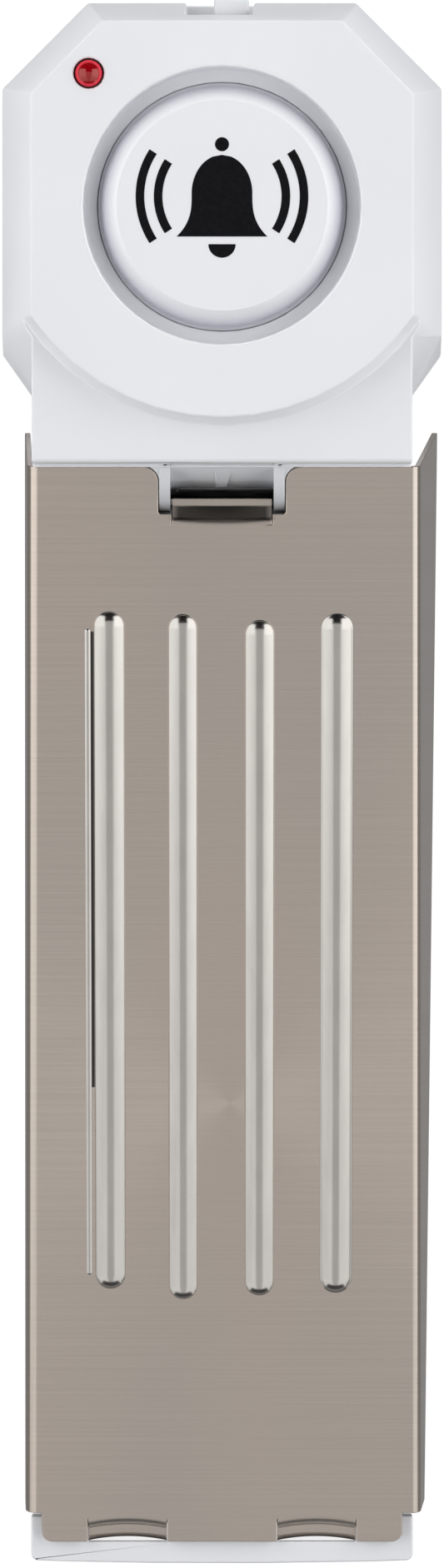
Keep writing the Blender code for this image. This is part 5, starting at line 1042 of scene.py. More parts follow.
@dataclass
class RampPlate:
    """Folded sheet with pressed ribs, built in its own frame and laid on the slope.

    In that frame u runs up the slope from the hinge axis and w stands square to the sheet. Pairs of sizes are
    for the left and the right side.
    """

    hinge: Pair = (-75.8 * MM, 3.6 * MM)
    low: Pair = (-76.9 * MM, 5.2 * MM)
    tall: Pair = (32.2 * MM, 29.0 * MM)
    sheet: float = 0.6 * MM
    strip_sheet: float = 0.55 * MM
    half_tall: Pair = (19.5 * MM, 19.84 * MM)
    half_low: Pair = (20.06 * MM, 20.33 * MM)
    fold_radii: Pair = (1.25 * MM, 0.95 * MM)
    flange_tall: float = 19.0 * MM
    flange_low: float = 4.8 * MM
    flange_start: float = 2.3 * MM
    flares: Pair = (math.radians(1.7), math.radians(6.4))
    stations: int = 25
    ribs: tuple[Rib, ...] = (
        Rib("pressed_bead_1", -11.3 * MM, -49.2 * MM, 16.3 * MM, 1.56 * MM),
        Rib("pressed_bead_2", -3.93 * MM, -50.35 * MM, 16.1 * MM, 1.49 * MM),
        Rib("pressed_bead_3", 3.78 * MM, -49.95 * MM, 15.5 * MM, 1.51 * MM),
        Rib("pressed_bead_4", 11.53 * MM, -49.55 * MM, 16.05 * MM, 1.63 * MM),
        Rib("pressed_lip", -13.45 * MM, -49.0 * MM, 15.8 * MM, 0.3 * MM, 0.11 * MM, 0.5 * MM, 0.04 * MM),
        # Painted shadow: a near-black strip in the crease between the lip and the first bead.
        Rib(
            "painted_lip_crease_shadow", -13.02 * MM, -30.0 * MM, 15.7 * MM, 0.15 * MM, 0.02 * MM,
            brow=0.05 * MM, shaded=True,
        ),
    )
    rib_root: float = 0.3 * MM
    notch_half_width: float = 6.35 * MM
    notch_depth: float = 4.8 * MM
    notch_mouth: float = 1.6 * MM
    notch_corner: float = 0.25 * MM
    tongue_half_width: float = 5.0 * MM
    tongue_bend: float = 26.47 * MM
    tongue_arch: float = -0.3 * MM
    tongue_lead: float = 1.6 * MM
    tongue_radii: Pair = (0.96 * MM, 0.3 * MM)
    tongue_turn: float = math.radians(30.0)
    tongue_fall: float = 1.235 * MM
    tongue_foot: float = 0.65 * MM
    toe: tuple[Pair, Pair] = ((28.45 * MM, 22.9 * MM), (28.85 * MM, 26.8 * MM))
    toe_half_width: float = 2.0 * MM
    end_half_width: float = 18.4 * MM
    end_corner: float = 1.1 * MM
    hook_centre: float = 9.65 * MM
    hook_half_width: float = 4.0 * MM
    hook_start: float = 1.67 * MM
    hook_arch: float = 0.43 * MM
    hook_lead: float = 1.2 * MM
    hook_radii: Point = (0.97 * MM, 0.5 * MM, 0.32 * MM)
    hook_fall: float = 0.85 * MM
    hook_foot: float = 0.45 * MM
    hook_turn: float = math.radians(65.0)
    hook_tip: float = 0.5 * MM
    side_gap: float = 0.05 * MM
    crease: float = 0.12 * MM
    edge: float = 0.1 * MM

    def __post_init__(self) -> None:
        """Works out the slope and the sheet's outer face in the plate's frame."""
        self.slope = math.atan2(self.tall[1] - self.low[1], self.tall[0] - self.low[0])
        self.u_low, self.top = self.to_plate(*self.low)
        self.u_tall = self.to_plate(*self.tall)[0]

    def to_plate(self, y: float, z: float) -> Pair:
        """Turns a world place (y, z) into (u, w).

        Args:
            y: place along y.
            z: height.

        Returns:
            The pair (u, w).
        """
        along, above = y - self.hinge[0], z - self.hinge[1]
        turn = (math.cos(self.slope), math.sin(self.slope))
        return along * turn[0] + above * turn[1], above * turn[0] - along * turn[1]

    def to_world(self, points: np.ndarray) -> np.ndarray:
        """Turns points (x, u, w) into (x, y, z).

        Args:
            points: array of points in the plate's frame.

        Returns:
            The same array in the world.
        """
        x, u, w = points[..., 0], points[..., 1], points[..., 2]
        turn = (math.cos(self.slope), math.sin(self.slope))
        y = self.hinge[0] + u * turn[0] - w * turn[1]
        return np.stack([x, y, self.hinge[1] + u * turn[1] + w * turn[0]], axis=-1)

    def u_at(self, y: float) -> float:
        """Place up the slope of a point of the sheet's outer face over y."""
        return (y - self.hinge[0] + self.top * math.sin(self.slope)) / math.cos(self.slope)

    def pressed(self, rib: Rib) -> bpy.types.Object:
        """Round-topped rib with round ends, rooted in the sheet.

        At a distance r from the middle line the height is sqrt(R^2 - r^2) - R + height, with R the dome's
        radius. Over the brow, the last stretch before the foot, it falls to zero with 1 - 0.46 s - 0.54 s^2.

        Args:
            rib: sizes of the rib.

        Returns:
            The closed solid, in the world.
        """
        half_turn = np.linspace(0.0, math.pi, 25)
        turn = np.concatenate([half_turn, half_turn + math.pi])[None, :]
        end_u = np.repeat([self.u_at(rib.tall), self.u_at(rib.low)], len(half_turn))[None, :]
        inner = rib.half_width - rib.brow
        off = np.sin(np.linspace(0.0, math.pi / 2, 13)) * inner
        rise = np.sqrt(rib.dome**2 - off**2) - rib.dome + rib.height
        share = np.linspace(0.0, 1.0, 6)[1:]
        off = np.concatenate([off, inner + rib.brow * share, [rib.half_width, 0.0]])[:, None]
        fall = rise[-1] * (1 - 0.46 * share - 0.54 * share**2)
        rise = np.concatenate([rise, fall, [-self.rib_root, -self.rib_root]])[:, None]
        x = rib.x + off * np.cos(turn)
        points = np.stack([x, end_u + off * np.sin(turn), np.broadcast_to(self.top + rise, x.shape)], axis=-1)
        made = object_from(rib.name, self.to_world(points), grid_faces(*x.shape, wrapped=True))
        return smooth_by_angle(made, 40.0)

    def skin(self) -> np.ndarray:
        """Outer face from one flange's edge to the other's, as a grid of (x, u, w).

        Each row is a flange, a fold of constant radius, the flat, and the same again. Half width and depth of
        the flanges change evenly with u. A column close to each fold keeps the flat's shading flat.

        Returns:
            The grid.
        """
        u = np.linspace(self.u_low, self.u_tall, self.stations)[:, None]
        share = (u - self.flange_start) / (self.u_tall - self.flange_start)
        depth = self.flange_low + (self.flange_tall - self.flange_low) * share
        sides = []
        for index, side in enumerate((-1, 1)):
            radius, flare = self.fold_radii[index], self.flares[index]
            half = self.half_low[index] + (self.half_tall[index] - self.half_low[index]) * share
            turn = np.linspace(flare, math.pi / 2, 14)[None, :]
            bend_x = half - radius + radius * np.cos(turn)
            bend_w = np.broadcast_to(self.top - radius + radius * np.sin(turn), bend_x.shape)
            length = (bend_w[:, :1] - self.top + depth) / math.cos(flare)
            steps = np.linspace(1.0, 0.0, 7)[None, :-1]
            foot_x = bend_x[:, :1] + length * steps * math.sin(flare)
            foot_w = bend_w[:, :1] - length * steps * math.cos(flare)
            across = np.hstack([foot_x, bend_x]) * side
            row = np.stack([across, np.broadcast_to(u, across.shape), np.hstack([foot_w, bend_w])], axis=-1)
            sides.append(row)
        near = self.crease / (self.half_tall[0] + self.half_tall[1])
        steps = np.concatenate([[near], np.linspace(0.0, 1.0, 9)[1:-1], [1 - near]])[:, None]
        first, last = sides[0][:, -1:], sides[1][:, -1:]
        skin = np.concatenate([sides[0], first + (last - first) * steps, sides[1][:, ::-1]], axis=1)
        flat = slice(sides[0].shape[1] - 1, 1 - sides[1].shape[1] or None)
        skin[:, flat, 2] = self.top
        return skin

    def strip(
        self, name: str, path: np.ndarray, half_width: float, centre: float, arch: np.ndarray
    ) -> bpy.types.Object:
        """Bent sheet of even thickness across x, whose bends run in an arch.

        The path of (u, w, heading) is moved half a sheet to each side, square to its heading. A point at the
        share s of the half width moves along u by arch (1 - s^2).

        Args:
            name: name of the object.
            path: middle line of the sheet, with its heading.
            half_width: half the width of the strip.
            centre: x of its middle.
            arch: shift of the middle against the sides, for each row of the path.

        Returns:
            The closed solid, in the plate's frame.
        """
        heading = path[:, 2]
        normal = np.stack([-np.sin(heading), np.cos(heading)], axis=-1) * self.strip_sheet / 2
        loop = np.concatenate([path[:, :2] + normal, (path[:, :2] - normal)[::-1]])
        count = len(loop)
        share = np.linspace(-1.0, 1.0, 13)[:, None]
        x = np.broadcast_to(centre + half_width * share, (len(share), count))
        w = np.where(np.abs(loop[:, 1] - self.top) < SEAM_DISTANCE, self.top, loop[:, 1])
        arch = np.concatenate([arch, arch[::-1]])
        points = np.stack([x, loop[:, 0] + arch * (1 - share**2), np.broadcast_to(w, x.shape)], axis=-1)
        faces = grid_faces(*x.shape, wrapped=True).tolist()
        half = count // 2
        for start in (0, x.size - count):
            end = start + count - 1
            faces += [[start + i, start + i + 1, end - i - 1, end - i] for i in range(half - 1)]
        return object_from(name, points, faces)

    def bent(self, start: Pair, legs: tuple[tuple[float, float, float], ...]) -> np.ndarray:
        """Middle line that starts at a place and goes through legs of (length, bend radius, turn in radians).

        Each leg is a straight run along the heading, and then an arc of the bend radius through the turn.

        Args:
            start: first place (u, w).
            legs: length, bend radius and turn of each leg. The sign of the first length is the first heading.

        Returns:
            Rows of (u, w, heading).
        """
        heading = 0.0 if legs[0][0] > 0 else math.pi
        rows = [np.array([*start, heading])]
        for length, radius, turn in legs:
            ahead = np.array([math.cos(heading), math.sin(heading)])
            place = rows[-1][:2] + ahead * abs(length)
            rows.append(np.array([*place, heading]))
            if turn:
                sign = math.copysign(1.0, turn)
                middle = place + sign * radius * np.array([-math.sin(heading), math.cos(heading)])
                headings = heading + np.linspace(0.0, turn, 13)[1:]
                angles = headings - sign * math.pi / 2
                arc = middle + radius * np.stack([np.cos(angles), np.sin(angles)], axis=-1)
                rows += list(np.column_stack([arc, headings]))
                heading += turn
        return np.array(rows)

    def cutters(self) -> list[bpy.types.Object]:
        """Notch of the tall end, round corners of the narrow end and the gaps over the hooks.

        Returns:
            The solids to cut away, in the plate's frame.
        """
        spare = 1.0 * MM
        mouth = self.notch_half_width + self.notch_mouth
        fillet = arc(math.pi / 2, math.pi, 9) * self.notch_mouth + (mouth, self.u_tall - self.notch_mouth)
        floor_u = self.u_tall - self.notch_depth
        corner = self.notch_corner * (arc(0.0, -math.pi / 2, 6) + (-1, 1)) + (self.notch_half_width, floor_u)
        root_x = self.tongue_half_width + self.side_gap
        bend = (0.0, self.u_at(self.tongue_bend))
        root = flat_arch(bend, root_x, self.tongue_arch, np.linspace(1.0, 0.0, 7))
        half = np.vstack([[[mouth, self.u_tall + spare]], fillet, corner, [[root_x, floor_u]], root])
        outlines = [np.vstack([half, half[-2::-1] * (-1, 1)])]
        before = self.u_low - spare
        centre = (self.end_half_width - self.end_corner, self.u_low + self.end_corner)
        outside = self.half_low[0] + self.flange_low
        end = [[self.end_half_width, self.flange_start]]
        rest = [[centre[0], before], [outside, before], [outside, self.flange_start]]
        end = np.vstack([end, arc(0.0, -math.pi / 2, 9) * self.end_corner + centre, rest])
        reach = self.hook_half_width + self.side_gap
        for side in (-1, 1):
            outlines.append(end * (side, 1))
            place = (side * self.hook_centre, self.hook_start)
            gap = flat_arch(place, reach, self.hook_arch, np.linspace(-1.0, 1.0, 13))
            outlines.append(np.vstack([gap, [[gap[-1, 0], before], [gap[0, 0], before]]]))
        below, above = self.top - self.flange_tall, self.top + spare
        return [carried("cutter", outline, Axis.Z, below, above) for outline in outlines]

    def tongue(self) -> list[bpy.types.Object]:
        """Strip that bends down out of the notch to a level foot, and the toe that presses the lever.

        Returns:
            The two solids, in the plate's frame.
        """
        middle = self.top - self.strip_sheet / 2
        turn = self.tongue_turn
        legs = (
            (self.tongue_lead, 0.0, 0.0),
            (self.crease, self.tongue_radii[0], -turn - self.slope),
            (self.tongue_fall, self.tongue_radii[1], turn),
            (self.tongue_foot, 0.0, 0.0),
        )
        path = self.bent((self.u_at(self.tongue_bend) - self.tongue_lead - self.crease, middle), legs)
        shift = self.tongue_arch * (path[:, 1] - path[-1, 1]) / (middle - path[-1, 1])
        (front, low), (rear, high) = self.toe
        corners = [self.to_plate(y, z) for y, z in ((front, low), (rear, low), (rear, high), (front, high))]
        toe = carried("toe", np.array(corners), Axis.X, -self.toe_half_width, self.toe_half_width)
        return [self.strip("tongue", path, self.tongue_half_width, 0.0, shift), toe]

    def hooks(self) -> list[bpy.types.Object]:
        """The two strips that go down into the nose.

        Returns:
            The two solids, in the plate's frame.
        """
        middle = self.top - self.strip_sheet / 2
        first, second, third = self.hook_radii
        legs = (
            (-self.hook_lead, 0.0, 0.0),
            (self.crease, first, math.pi / 2 - self.slope),
            (self.hook_fall, second, -math.pi / 2),
            (self.hook_foot, third, self.hook_turn),
            (self.hook_tip, 0.0, 0.0),
        )
        path = self.bent((self.hook_start + self.hook_lead + self.crease, middle), legs)
        shift = np.full(len(path), self.hook_arch)
        places = (-self.hook_centre, self.hook_centre)
        return [self.strip("hook", path, self.hook_half_width, x, shift) for x in places]

    def build(self, shop: Workshop, palette: Palette) -> None:
        """Makes the plate and its ribs, and puts them in place of the node.

        Args:
            shop: where the pieces are fitted.
            palette: finishes.
        """
        skin = self.skin()
        plate = object_from("ramp_plate", skin, grid_faces(*skin.shape[:2]))
        wall = plate.modifiers.new("sheet", "SOLIDIFY")
        wall.thickness = self.sheet
        wall.offset = -1.0
        modified(plate)
        joined(plate, self.cutters(), "DIFFERENCE")
        joined(plate, [*self.tongue(), *self.hooks()], "UNION")
        move_points(plate, self.to_world(points_of(plate)))
        soften(plate, self.edge, 2, 50.0)
        shop.fit(plate, Body.RAMP, palette.steel, ("wedge_plate",))
        for rib in self.ribs:
            # Shaded ribs wear the near-black painted shadow finish.
            finish = palette.crease if rib.shaded else palette.pressed
            shop.fit(self.pressed(rib), Body.RAMP, finish)


@dataclass
class SirenHead:
    """Shell with its soft edges, siren cap with its printed bell, indicator and slide knob."""

    cap_centre: Pair = (0.0, 57.9 * MM)
    cap_radius: float = 12.0 * MM
    cap_flat: float = 10.45 * MM
    cap_shoulder: Pair = (11.0 * MM, 0.46 * MM)
    cap_round: float = 2.6 * MM
    cap_top: float = 35.3 * MM
    cap_bottom: float = 32.7 * MM
    cap_skirt: float = 1.2 * MM
    cap_foot: float = 12.3 * MM
    groove_old_floor: float = 33.7 * MM
    groove_floor: float = 32.75 * MM
    groove_reach: Pair = (12.9 * MM, 13.72 * MM)
    neck_front: float = 32.45 * MM
    neck_top: float = 33.3 * MM
    neck_rounds: Pair = (2.2 * MM, 0.5 * MM)
    neck_half_width: float = 18.85 * MM
    cheek_walls: Pair = (5.17 * MM, 6.27 * MM)
    cheek_top: float = 29.0 * MM
    cheek_tip: Pair = (27.78 * MM, 26.95 * MM)
    cheek_foot: Pair = (28.36 * MM, 24.7 * MM)
    cheek_root: float = 23.9 * MM
    mouth_centre: Pair = (7.95 * MM, 30.6 * MM)
    mouth_round: float = 1.7 * MM
    mouth_z: Pair = (28.62 * MM, 28.95 * MM)
    mouth_slope: float = 0.2
    wall_root: float = 0.15 * MM
    wall_edge: float = 0.06 * MM
    ledge_y: float = 32.15 * MM
    ledge_z: Pair = (29.06 * MM, 29.4 * MM)
    led_place: Pair = (-13.2 * MM, 71.0 * MM)
    led_radius: float = 1.5 * MM
    led_tip: float = 35.9 * MM
    led_rim: float = 1.9 * MM
    led_rim_z: Pair = (32.1 * MM, 33.1 * MM)
    led_gap: float = 0.03 * MM
    shell_edge: float = 0.2 * MM
    print_rise: float = 0.02 * MM
    knob_edge: float = 0.35 * MM

    def shell(self, shop: Workshop, palette: Palette) -> None:
        """Body moulding, with a deeper, steeper groove round the cap and a tighter neck edge and lens hole.

        Args:
            shop: where the piece is copied and fitted.
            palette: finishes.
        """
        made = shop.copy("upper_shell", "shell_moulding", self.shell_edge, 3, 0.06 * MM)
        points = points_of(made)
        offset = points[:, :2] - self.cap_centre
        radius = np.hypot(*offset.T)
        near = 0.1 * MM
        low = np.abs(points[:, 2] - self.groove_old_floor) < near
        floor = low & (radius < self.groove_reach[0] + 2 * near)
        wall = floor & (radius > self.groove_reach[0] - near)
        points[floor, 2] = self.groove_floor
        points[wall, :2] = self.cap_centre + offset[wall] / radius[wall, None] * self.groove_reach[1]
        old, new = self.neck_rounds
        centre = np.array([self.neck_front + old, self.neck_top - old])
        spoke = (points[:, 1:] - centre) / old
        edge = (np.abs(np.hypot(*spoke.T) - 1) < near / old) & (spoke[:, 0] < near) & (spoke[:, 1] > -near)
        edge &= np.abs(points[:, 0]) < self.neck_half_width + near
        points[edge, 1:] = (self.neck_front + new, self.neck_top - new) + spoke[edge] * new
        offset = points[:, :2] - self.led_place
        radius = np.hypot(*offset.T)
        hole = radius < self.led_rim
        reach = self.led_radius + self.led_gap
        points[hole, :2] = self.led_place + offset[hole] / radius[hole, None] * reach
        move_points(made, points)
        counts = [int(group.sum()) for group in (floor, wall, edge, hole)]
        LOG.info("moved points of groove floor, groove wall, neck edge and lens hole: %s", counts)
        shop.fit(made, Body.HOUSING, palette.shell, ("upper_shell",))

    def notch_walls(self, shop: Workshop, palette: Palette) -> None:
        """Cheeks beside the recess, webs in the mouth of the plate's notch and a ledge over the plate's end.

        A cheek's top is a quarter ellipse from the neck to its tip, carried along x, and its end leans back
        from the tip so that the pressed plate passes. A web is a plan outline with a round bite for the
        plate's corner.

        Args:
            shop: where the pieces are fitted.
            palette: finishes.
        """
        back = self.neck_front + self.wall_root
        top = quarter_round((self.neck_front, self.cheek_top), self.cheek_tip, 16)
        end = [self.cheek_foot, (self.cheek_foot[0], self.cheek_root)]
        cheek = np.vstack([[[back, self.cheek_root], [back, self.cheek_top]], top, end])
        bite = arc(math.pi / 2, math.pi, 13) * self.mouth_round + self.mouth_centre
        inner = self.cheek_walls[1] - 2 * self.shell_edge
        web = np.vstack([[[inner, back], [self.mouth_centre[0], back]], bite, [[inner, bite[-1, 1]]]])
        for side, word in ((-1, "left"), (1, "right")):
            walls = sorted(side * x for x in self.cheek_walls)
            pieces = [carried(f"notch_cheek_{word}", cheek, Axis.X, *walls)]
            pieces.append(carried(f"notch_web_{word}", web * (side, 1), Axis.Z, *self.mouth_z))
            points = points_of(pieces[1])
            points[:, 2] += (points[:, 1] - self.neck_front) * self.mouth_slope
            move_points(pieces[1], points)
            # The cheeks wear painted shade that darkens towards their tips; the webs wear plain shell
            # plastic.
            for piece, finish in zip(pieces, (palette.recess, palette.shell)):
                shop.fit(soften(piece, self.wall_edge, 2), Body.HOUSING, finish)
        reach = self.neck_half_width
        outline = np.array([[-reach, self.ledge_y], [reach, self.ledge_y], [reach, back], [-reach, back]])
        ledge = soften(carried("neck_ledge", outline, Axis.Z, *self.ledge_z), self.wall_edge, 2)
        shop.fit(ledge, Body.HOUSING, palette.shell)

    def cap(self, shop: Workshop, palette: Palette) -> None:
        """Turned cap: flat top, sloped shoulder, a long round edge down to the groove and a thin foot.

        Past the shoulder (r1, z1), with t from a = 40 to 90 degrees and R the radius of the round, a point is
        (r1 + R (sin t - sin a), z1 - R (cos a - cos t)).

        Args:
            shop: where the piece is fitted.
            palette: finishes.
        """
        inner = self.cap_radius - self.cap_skirt
        flat = np.array([[share * self.cap_flat, self.cap_top] for share in (0.0, 0.5, 1.0)])
        r1, z1 = self.cap_shoulder[0], self.cap_top - self.cap_shoulder[1]
        turn = np.linspace(math.radians(40.0), math.pi / 2, 15)
        spoke = np.column_stack([np.sin(turn), np.cos(turn)])
        edge = self.cap_round * (spoke - spoke[0])
        under = self.cap_top - self.cap_skirt
        foot = [[self.cap_radius, self.groove_floor], [self.cap_foot, self.groove_floor]]
        foot += [[self.cap_foot, self.cap_bottom], [inner, self.cap_bottom], [inner, under], [0.0, under]]
        made = revolved("siren_cap_cover", np.vstack([flat, edge + (r1, z1), foot]), self.cap_centre, 128)
        made.data.set_sharp_from_angle(angle=math.radians(20.0))
        shop.fit(made, Body.HOUSING, palette.cap, ("siren_cap",))

    def bell(self, shop: Workshop, palette: Palette) -> None:
        """Generic bell mark: body, clapper and two sound arcs on each side, as thin prints on the cap.

        The body's half width at a height is a half ellipse above its shoulder, and flares with the cube of
        the distance below it.

        Args:
            shop: where the prints are fitted.
            palette: finishes.
        """
        low, shoulder, top = -3.1 * MM, 1.2 * MM, 5.0 * MM
        waist, lip = 3.0 * MM, 1.5 * MM
        clapper, clapper_drop = 1.35 * MM, 0.75 * MM
        loop, loop_rise = 0.7 * MM, 1.05 * MM
        rings, ring_width, ring_rise = (5.9 * MM, 7.7 * MM), 0.85 * MM, 0.9 * MM
        up = np.linspace(low, top, 49)
        dome = waist * np.sqrt(np.clip(1 - ((up - shoulder) / (top - shoulder)) ** 2, 0.0, 1.0))
        flare = waist + lip * ((shoulder - up) / (shoulder - low)) ** 3
        half = np.where(up > shoulder, dome, flare)
        prints = [
            ("bell_body", np.vstack([np.column_stack([half, up]), np.column_stack([-half, up])[::-1]])),
            ("bell_clapper", arc(0.0, -math.pi, 25) * clapper + (0.0, low - clapper_drop)),
            ("bell_loop", arc(0.0, 2 * math.pi, 26)[:-1] * loop + (0.0, top + loop_rise)),
        ]
        sweep = arc(math.radians(-33.0), math.radians(33.0), 25)
        for side, word in ((1, "right"), (-1, "left")):
            for ring, radius in enumerate(rings, start=1):
                band = np.vstack([sweep * radius, sweep[::-1] * (radius + ring_width)]) * (side, 1)
                prints.append((f"bell_sound_{word}_{ring}", band + (0.0, ring_rise)))
        z = self.cap_top + self.print_rise
        for name, shape in prints:
            piece = carried(name, shape + self.cap_centre, Axis.Z, z - 2 * self.print_rise, z)
            shop.fit(piece, Body.HOUSING, palette.ink)

    def indicator(self, shop: Workshop, palette: Palette) -> None:
        """Turned lens: flange, barrel and half ball on top.

        Args:
            shop: where the piece is fitted.
            palette: finishes.
        """
        low, high = self.led_rim_z
        dome = quarter_round((0.0, self.led_tip), (self.led_radius, self.led_tip - self.led_radius), 12)
        foot = [[self.led_radius, high], [self.led_rim, high], [self.led_rim, low], [0.0, low]]
        made = revolved("indicator_lens", np.vstack([dome, foot]), self.led_place, 48)
        shop.fit(made, Body.HOUSING, palette.lens, ("led",))

    def build(self, shop: Workshop, palette: Palette) -> None:
        """Makes the head's pieces.

        Args:
            shop: where they are fitted.
            palette: finishes.
        """
        for piece in (self.shell, self.notch_walls, self.cap, self.bell, self.indicator):
            piece(shop, palette)
        low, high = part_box("switch_knob")
        knob = rounded_block("slide_knob", tuple(low), tuple(high), self.knob_edge)
        shop.fit(knob, Body.KNOB, palette.shell, ("switch_knob",))


@dataclass
class Underside:
    """Bottom covers, ribbed rubber pads and screws."""

    cover_edge: float = 0.25 * MM
    screw_edge: float = 0.12 * MM
    rib_pitch: float = 2.0 * MM
    rib_depth: float = 0.35 * MM

    def pad(self, node: str, name: str) -> bpy.types.Object:
        """Rubber pad whose lower face has round ribs across it.

        The lower face is z = depth (1 - |cos(pi n s)|^0.6), with s from 0 to 1 along y and n ribs.

        Args:
            node: node whose place the pad takes.
            name: name of the piece.

        Returns:
            The closed solid.
        """
        low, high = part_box(node)
        length = high.y - low.y
        ribs = round(length / self.rib_pitch)
        share = np.linspace(0.0, 1.0, ribs * 12 + 1)
        wave = self.rib_depth * (1 - np.abs(np.sin(math.pi * ribs * share)) ** 0.6)
        under = np.column_stack([low.y + length * share, low.z + wave])
        top = np.array([[high.y, high.z], [low.y, high.z]])
        return smooth_by_angle(carried(name, np.vstack([under, top]), Axis.X, low.x, high.x), 40.0)

    def build(self, shop: Workshop, palette: Palette) -> None:
        """Makes the pieces under the body.

        Args:
            shop: where they are copied and fitted.
            palette: finishes.
        """
        for node, name, body, slot, finish in (
            ("base_plate", "bottom_cover", Body.HOUSING, "white_shell", palette.shell),
            ("battery_door", "sliding_door", Body.DOOR, "white_shell", palette.shell),
            ("battery_tray", "battery_frame", Body.HOUSING, "grey_frame", palette.frame),
        ):
            shop.stand_in(node, name, self.cover_edge, body, finish)
        for node, name, body in (
            ("front_grip", "front_pad", Body.HOUSING),
            ("middle_grip", "middle_pad", Body.HOUSING),
            ("rear_grip_left", "door_pad_left", Body.DOOR),
            ("rear_grip_right", "door_pad_right", Body.DOOR),
        ):
            shop.fit(self.pad(node, name), body, palette.rubber, (node,))
        for node in [name for name in shop.nodes if "_screw_" in name]:
            turned = f"{node}_turned"
            shop.stand_in(node, turned, self.screw_edge, Body.HOUSING, palette.bright)


@dataclass
class Electronics:
    """Battery, board, sounder, switches, springs and leads inside the body."""

    battery_start: float = 29.8 * MM
    battery_length: float = 46.4 * MM
    battery_edge: float = 0.5 * MM
    lever_edge: float = 0.08 * MM
    resistor_length: float = 6.0 * MM
    resistor_edge: float = 0.35 * MM

    def spring(self, node: str, name: str, shop: Workshop, material: bpy.types.Material) -> None:
        """Return spring, a smooth-shaded copy of the node in its place; the copy does not follow the plate.

        Args:
            node: node whose place the spring takes.
            name: name of the piece.
            shop: source of the copy.
            material: finish of the spring.
        """
        made = dressed(shop.merged(node, name), material)
        made.data.shade_smooth()
        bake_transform(made)
        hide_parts(node)

    def resistors(self, shop: Workshop) -> None:
        """Resistors in tan paint with bands of a code colour and a dark one.

        Args:
            shop: where they are copied and fitted.
        """
        tan, dark = (0.55, 0.42, 0.27), (0.03, 0.02, 0.02)
        starts = (0.0, 0.2, 0.3, 0.42, 0.52, 0.64, 0.74)
        for number, code in enumerate(((0.3, 0.05, 0.02), (0.35, 0.2, 0.01)), start=1):
            node = f"resistor_{number}"
            bands = tuple(zip(starts, (tan, code, tan, dark, tan, code, tan)))
            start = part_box(node)[0].y
            paint = BandedPaint(f"resistor_paint_{number}", start, self.resistor_length, bands).build()
            name = f"resistor_body_{number}"
            shop.stand_in(node, name, self.resistor_edge, Body.HOUSING, paint, 3)

    def build(self, shop: Workshop, palette: Palette) -> None:
        """Dresses the inner nodes, with rounded copies where an edge would look cut.

        Args:
            shop: where they are copied and fitted.
            palette: finishes.
        """
        silver, copper, dark = (0.5, 0.5, 0.5), (0.55, 0.26, 0.1), (0.02, 0.02, 0.022)
        bands = ((0.0, silver), (0.04, copper), (0.3, dark), (0.96, silver))
        start, length = self.battery_start, self.battery_length
        jacket = BandedPaint("battery_jacket", start, length, bands, metallic=0.6).build()
        shop.stand_in(
            "battery", "block_battery", self.battery_edge, Body.HOUSING, jacket, 3
        )
        copies = {
            "circuit_board": ("laminate_board", 0.08 * MM, "board_laminate", palette.board),
            "siren_chip": ("chip_case", 0.12 * MM, "black_plastic", palette.black),
            "capacitor": ("capacitor_can", 0.25 * MM, "black_plastic", palette.black),
            "transistor": ("transistor_case", 0.12 * MM, "black_plastic", palette.black),
            "switch_body": ("slide_switch_case", 0.15 * MM, "black_plastic", palette.black),
            "trigger_switch": ("snap_switch_case", 0.15 * MM, "black_plastic", palette.black),
            "snap_connector": ("snap_cover", 0.3 * MM, "black_plastic", palette.black),
            "terminal_plus": ("stud_terminal", 0.12 * MM, "plated_steel", palette.bright),
            "terminal_minus": ("socket_terminal", 0.12 * MM, "plated_steel", palette.bright),
            "piezo_ring": ("resonator_ring", 0.15 * MM, "grey_frame", palette.frame),
        }
        for node, (name, width, slot, material) in copies.items():
            shop.stand_in(node, name, width, Body.HOUSING, material)
        shop.stand_in(
            "trigger_lever", "snap_lever", self.lever_edge, Body.LEVER, palette.bright
        )
        self.resistors(shop)
        for side in ("left", "right"):
            self.spring(f"return_spring_{side}", f"lift_spring_{side}", shop, palette.bright)
        for node, material, smooth in (
            ("step_up_coil", palette.coil, False),
            ("piezo_plate", palette.brass, False),
            ("piezo_ceramic", palette.silvered, False),
            ("trigger_button", palette.red_jacket, True),
            ("led_lead_1", palette.bright, True),
            ("led_lead_2", palette.bright, True),
            ("battery_wire_1", palette.black, True),
            ("battery_wire_2", palette.red_jacket, True),
            ("trigger_wire", palette.grey_jacket, True),
        ):
            shop.paint(node, material, smooth)


